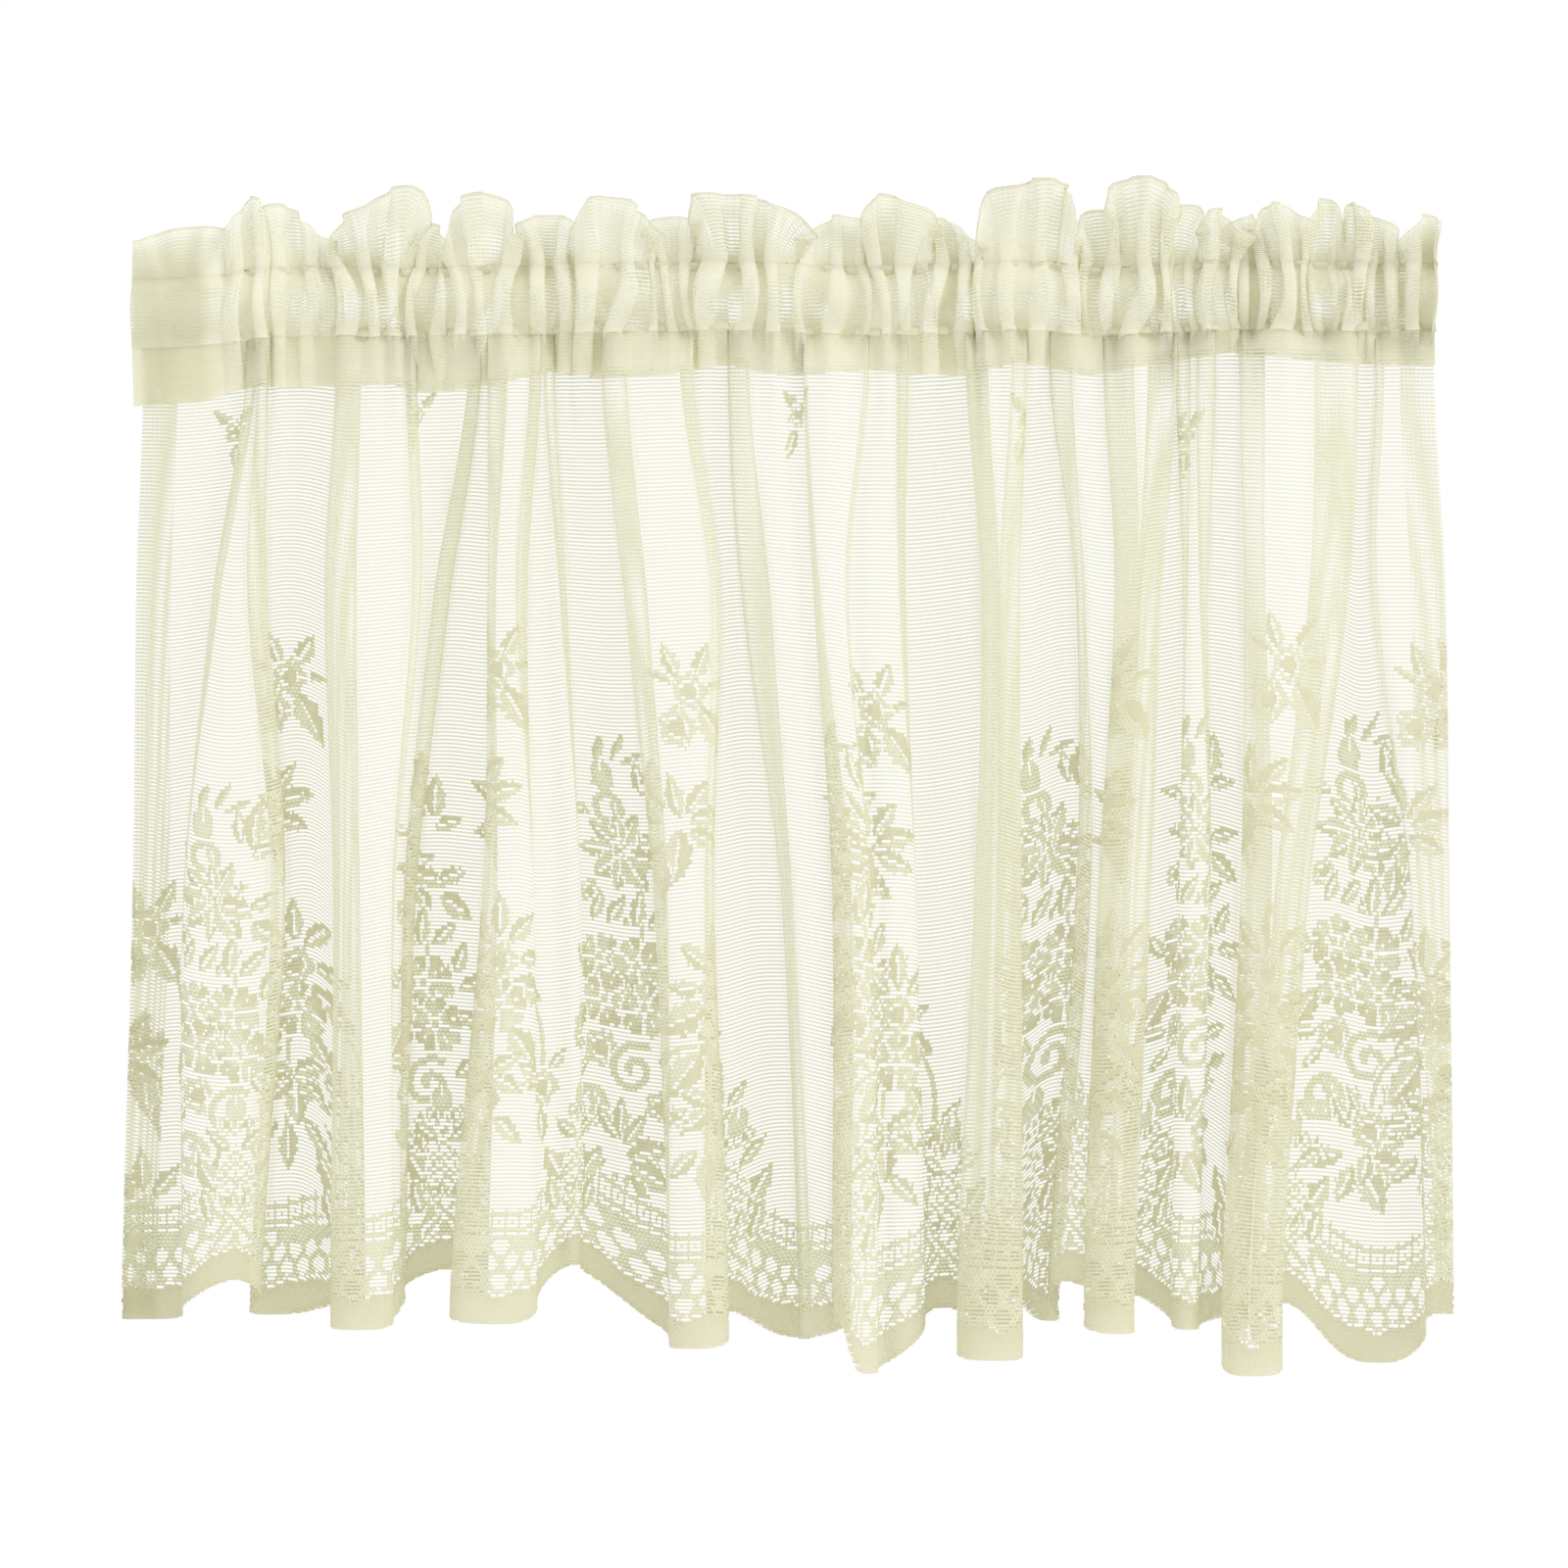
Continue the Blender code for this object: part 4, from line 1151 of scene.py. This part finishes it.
    def make_frill(self, material):
        """The doubled cloth over the upper seam: up the front, over the fold and down the back."""
        bottom = POCKET_HEIGHT / 2 - SEAM_OVERLAP
        rise = (self.top_z - bottom + FRILL_RISE) / 2
        rows = []
        for turn in np.linspace(-1, 1, 2 * FRILL_ROWS + 1):
            side = -1 if turn <= 0 else 1
            share = 1 - abs(turn) ** FRILL_SPACING
            flare = share**LOOP_FLARE
            fold_x, fold_y = self.folds(GATHER_LEAN + share)
            ease = 1 - FRILL_EASE * share**FRILL_EASE_BEND
            x = self.base_x + (self.top_x - self.base_x) * flare
            y = self.base_y + (self.top_y - self.base_y) * flare
            puff = FRILL_PUFF * math.sqrt(1 - share) * (FRILL_PUFF_FOOT + share) * -np.sign(turn)
            flutter = wave(CREST_FLUTTER, self.u) * share
            out = outward(np.stack([x, y], -1)).T * (puff + flutter)
            x = x + fold_x * ease + out[0]
            x += self.wave(FRILL_LEAN) * share**2 + self.wave(CREST_ROLL) * share**4
            y = y + out[1] + fold_y * ease + self.wave(CREST_CURL) * share**5
            z = bottom - self.sag * (1 - share) + (self.top_z - bottom) * share
            z += self.wave(CREST_WAVE) * share
            v = POCKET_HEIGHT + (share * rise if side < 0 else (2 - share) * rise + COURSE / 2)

            # Painted shade on the fold line and painted light just below it
            crest = math.exp(-((turn / CREST_REACH) ** 4))
            under = math.exp(-(((abs(turn) - 2 * CREST_REACH) / CREST_REACH) ** 2))
            # Painted light near the seam, where the cloth is closer
            seam = self.closeness(POCKET_HEIGHT + rise * share)
            # The side hems' painted shade and their cover fade out up the frill
            ends = self.side_hem * share
            # Painted light where a small fold, a front loop's foot or the frill's front stands
            # forward, painted shade where it lies back
            foot = LOOP_PAINTED_LIGHT * (1 - share) * np.sign(self.base_y)
            lift = side * (fold_y / GATHER_DEPTH * ease + foot + self.top_y / FRILL_DEPTH * share)
            tone = FRILL_PAINTED_SHADING + FOLD_PAINTED_LIGHT * lift * (1 - crest) + SEAM_PAINTED_LIGHT * seam
            tone += UNDER_PAINTED_LIGHT * under - CREST_PAINTED_SHADE * crest + HEM_PAINTED_SHADE * ends
            height = POCKET_HEIGHT + WINDOW_REACH * share
            openness = np.maximum(self.slack(height, WINDOW_SHIFT), FRILL_OPENNESS * share)
            cover = self.cover(height) * (1 - share) + CREST_COVER * crest + SEAM_COVER * seam
            cover -= WINDOW_OPENNESS * openness * (1 - crest) * (1 - seam) + HEM_COVER * ends
            rows.append((x, y, z, v, tone, cover))
        return self.grid("frill_cloth", rows, material)


def make_stitches(lines, material):
    """The two seams' lock stitches, short bars of thread along the front of the cloth."""
    points, faces, uvs = [], [], []
    for line in lines:
        distance = shares_along(line)
        length = np.linalg.norm(np.diff(line, axis=0), axis=-1).sum()
        count = round(length / STITCH_PITCH)
        for i in range(count):
            ends = (i + np.array(STITCH_ENDS)) / count
            a, b = np.array([np.interp(ends, distance, line[:, k]) for k in range(3)]).T
            n = len(points)
            for lift, side in ((0, -STITCH_RADIUS), (-STITCH_RADIUS, 0), (0, STITCH_RADIUS)):
                for end in (a, b):
                    points.append(end + np.array([0, lift - WORK_LIFT, side]))
            faces += [(n, n + 1, n + 3, n + 2), (n + 2, n + 3, n + 5, n + 4)]
            uvs += [(p[0], p[2]) for p in points[n:]]
    return mesh_object("seam_stitches", points, faces, uvs, material)


class Nodes:
    """A short way to write a material's node tree."""

    def __init__(self, name):
        self.material = bpy.data.materials.new(name)
        self.material.use_nodes = True
        self.tree = self.material.node_tree
        self.shader = self.tree.nodes["Principled BSDF"]

    def new(self, kind, **settings):
        node = self.tree.nodes.new(kind)
        for name, value in settings.items():
            setattr(node, name, value)
        return node

    def put(self, value, socket):
        if isinstance(value, (int, float, tuple)):
            socket.default_value = value
        else:
            self.tree.links.new(value, socket)

    def fill(self, node, values):
        """Puts the values in the node's inputs of these names."""
        for name, value in values.items():
            self.put(value, node.inputs[name])
        return node

    def output(self, kind, *values, **settings):
        """The first output of a new node with these values in its inputs."""
        node = self.new(kind, **settings)
        for value, socket in zip(values, node.inputs):
            self.put(value, socket)
        return node.outputs[0]

    def math(self, operation, *values):
        return self.output("ShaderNodeMath", *values, operation=operation)

    def flat_place(self):
        """The place on the flat cloth, u and v in metres."""
        apart = self.new("ShaderNodeSeparateXYZ")
        self.put(self.output("ShaderNodeUVMap", uv_map="flat"), apart.inputs[0])
        return apart.outputs[0], apart.outputs[1]

    def attribute(self, name):
        return self.new("ShaderNodeAttribute", attribute_name=name).outputs["Fac"]

    def cycle(self, value, pitch, shift=0.0):
        """How far a value is through its cycle, from 0 to 1."""
        return self.math("FRACT", self.math("ADD", self.math("DIVIDE", value, pitch * MM), shift))

    def from_middle(self, cycle):
        """The distance from the middle of a cycle, from 0 to a half."""
        return self.math("ABSOLUTE", self.math("SUBTRACT", cycle, 0.5))

    def smooth(self, value, low, high):
        """1 below low, 0 above high."""
        node = self.new("ShaderNodeMapRange", interpolation_type="SMOOTHSTEP")
        ends = {"From Min": low, "From Max": high, "To Min": 1.0, "To Max": 0.0}
        return self.fill(node, {"Value": value, **ends}).outputs["Result"]

    def finish(self, lit_colour, shade, alpha, height, rough):
        """Thread in painted light and shade between two colours, light that comes through it, its
        relief and its openings.
        """
        # Painted light and shade: the attribute mixes the shaded and the lit colour
        tone = {"A": (*shade, 1.0), "B": (*lit_colour, 1.0), "Factor": self.attribute("tone")}
        thread = self.fill(self.new("ShaderNodeMix", data_type="RGBA"), tone).outputs["Result"]
        relief = {"Strength": RELIEF_STRENGTH, "Distance": RELIEF * MM, "Height": height}
        bump = self.fill(self.new("ShaderNodeBump"), relief)
        look = {"Roughness": rough, "Specular IOR Level": GLOSS, "Sheen Weight": SHEEN}
        self.fill(self.shader, {"Base Color": thread, "Normal": bump.outputs[0], **look})
        glow = self.output("ShaderNodeBsdfTranslucent", thread)
        cloth = self.output("ShaderNodeMixShader", GLOW, self.shader.outputs[0], glow)
        opening = self.output("ShaderNodeBsdfTransparent")
        openwork = self.output("ShaderNodeMixShader", alpha, opening, cloth)
        self.put(openwork, self.tree.nodes["Material Output"].inputs["Surface"])
        return self.material


def net_material(name, lit_colour, shade, thread, veil):
    """Open net: a waving thread along each row and a faint veil of fibres. thread is the thread's
    share of a row, and veil is how much the fibres cover where the mesh gives no more."""
    nodes = Nodes(name)
    u, v = nodes.flat_place()
    rise = nodes.math("MULTIPLY", nodes.from_middle(nodes.cycle(u, 2 * WALE)), THREAD_WAVE)
    row = nodes.math("ADD", nodes.cycle(v, COURSE, NET_SHIFT), rise)
    off = nodes.from_middle(nodes.math("FRACT", row))
    strand = nodes.smooth(off, thread / 2 - NET_EDGE, thread / 2 + NET_EDGE)
    cover = nodes.math("ADD", nodes.attribute("cover"), veil)
    alpha = nodes.math("MINIMUM", nodes.math("MAXIMUM", strand, cover), 1.0)
    alpha = nodes.math("MULTIPLY", alpha, nodes.math("SUBTRACT", 1.0, nodes.attribute("worked")))
    return nodes.finish(lit_colour, shade, alpha, strand, NET_ROUGHNESS)


def work_material(name, lit_colour, shade, hole):
    """Worked stitches: close cloth with a tiny hole at every other stitch, staggered."""
    nodes = Nodes(name)
    u, v = nodes.flat_place()
    row = nodes.math("DIVIDE", v, COURSE * MM)
    stagger = nodes.math("MULTIPLY", nodes.math("FLOOR", row), 0.5)
    stitch = nodes.math("ADD", nodes.math("DIVIDE", u, 2 * WALE * MM), stagger)
    across = nodes.from_middle(nodes.math("FRACT", stitch))
    upright = nodes.from_middle(nodes.math("FRACT", row))
    reach = nodes.math("MAXIMUM", across, nodes.math("MULTIPLY", upright, HOLE_HEIGHT))
    holes = nodes.smooth(reach, hole, hole + HOLE_EDGE)
    alpha = nodes.math("SUBTRACT", 1.0, nodes.math("MULTIPLY", holes, HOLE_DEPTH))
    return nodes.finish(lit_colour, shade, alpha, across, WORK_ROUGHNESS)


def thread_material(name, lit_colour):
    nodes = Nodes(name)
    u, v = nodes.flat_place()
    twist = nodes.from_middle(nodes.cycle(nodes.math("ADD", u, v), THREAD_TWIST))
    shade = tuple(THREAD_SHADE * part for part in lit_colour)
    return nodes.finish(lit_colour, shade, 1.0, twist, THREAD_ROUGHNESS)


def make_camera():
    """Straight on, framed as the photograph."""
    data = bpy.data.cameras.new("camera")
    data.lens = LENS
    data.sensor_width = SENSOR
    data.clip_end = CAMERA_REACH
    camera = link(bpy.data.objects.new("camera", data))
    middle = (POCKET_PIXEL_ROW - PHOTO_SIDE / 2) * PIXEL * MM
    camera.location = (0, -PHOTO_SIDE * PIXEL * MM * LENS / SENSOR, middle)
    camera.rotation_euler = (math.radians(90), 0, 0)
    bpy.context.scene.camera = camera


def make_surroundings():
    """A white studio: an even white sky, a soft light from the right and a pale floor."""
    scene = bpy.context.scene
    scene.view_settings.view_transform = "Standard"
    scene.cycles.transparent_max_bounces = LAYERS
    world = bpy.data.worlds.new("studio")
    world.use_nodes = True
    sky = world.node_tree.nodes["Background"]
    sky.inputs["Color"].default_value = (1, 1, 1, 1)
    sky.inputs["Strength"].default_value = 1.0
    scene.world = world

    light = bpy.data.lights.new("soft light", "SUN")
    light.energy = SUN_ENERGY
    light.angle = math.radians(SUN_ANGLE)
    lamp = link(bpy.data.objects.new("soft light", light))
    lamp.location = SUN_PLACE
    direction = Vector(SUN_TARGET) - lamp.location
    lamp.rotation_euler = direction.to_track_quat("-Z", "Y").to_euler()

    mesh = bpy.data.meshes.new("floor")
    turns = np.linspace(0, 2 * math.pi, FLOOR_SIDES, endpoint=False)
    edge = [(FLOOR_RADIUS * math.cos(t), FLOOR_RADIUS * math.sin(t), FLOOR_HEIGHT) for t in turns]
    mesh.from_pydata(edge, [], [range(FLOOR_SIDES)])
    floor_nodes = Nodes("pale floor")
    floor_nodes.shader.inputs["Base Color"].default_value = FLOOR_COLOUR
    floor_nodes.shader.inputs["Roughness"].default_value = FLOOR_ROUGHNESS
    mesh.materials.append(floor_nodes.material)
    link(bpy.data.objects.new("floor", mesh))


def main():
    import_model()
    make_camera()
    make_surroundings()

    panel, heading = Panel(), Heading()
    panel.join(heading)
    chart = lace_chart(panel)
    gauze = net_material(*GATHERED_NET)
    sheet = make_sheet(panel, chart, net_material(*IVORY_NET))
    work = make_work(panel, chart, work_material(*DOTTED_WORK), work_material(*CLOSE_WORK))
    turned = heading.make_turned_band(net_material(*TURNED_NET))
    pocket = heading.make_pocket(gauze)
    frill = heading.make_frill(gauze)
    first_rows = (piece.data.vertices[: len(heading.u)] for piece in (pocket, frill))
    seams = [np.array([vertex.co for vertex in row]) / MM for row in first_rows]
    stitches = make_stitches(seams, thread_material("sewing thread", SEWING_THREAD))

    for piece in (sheet, work, turned, pocket, frill, stitches):
        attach(piece, "root")
    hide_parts("lace_panel")
    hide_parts("rod_pocket")
    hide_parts("header_frill")


main()
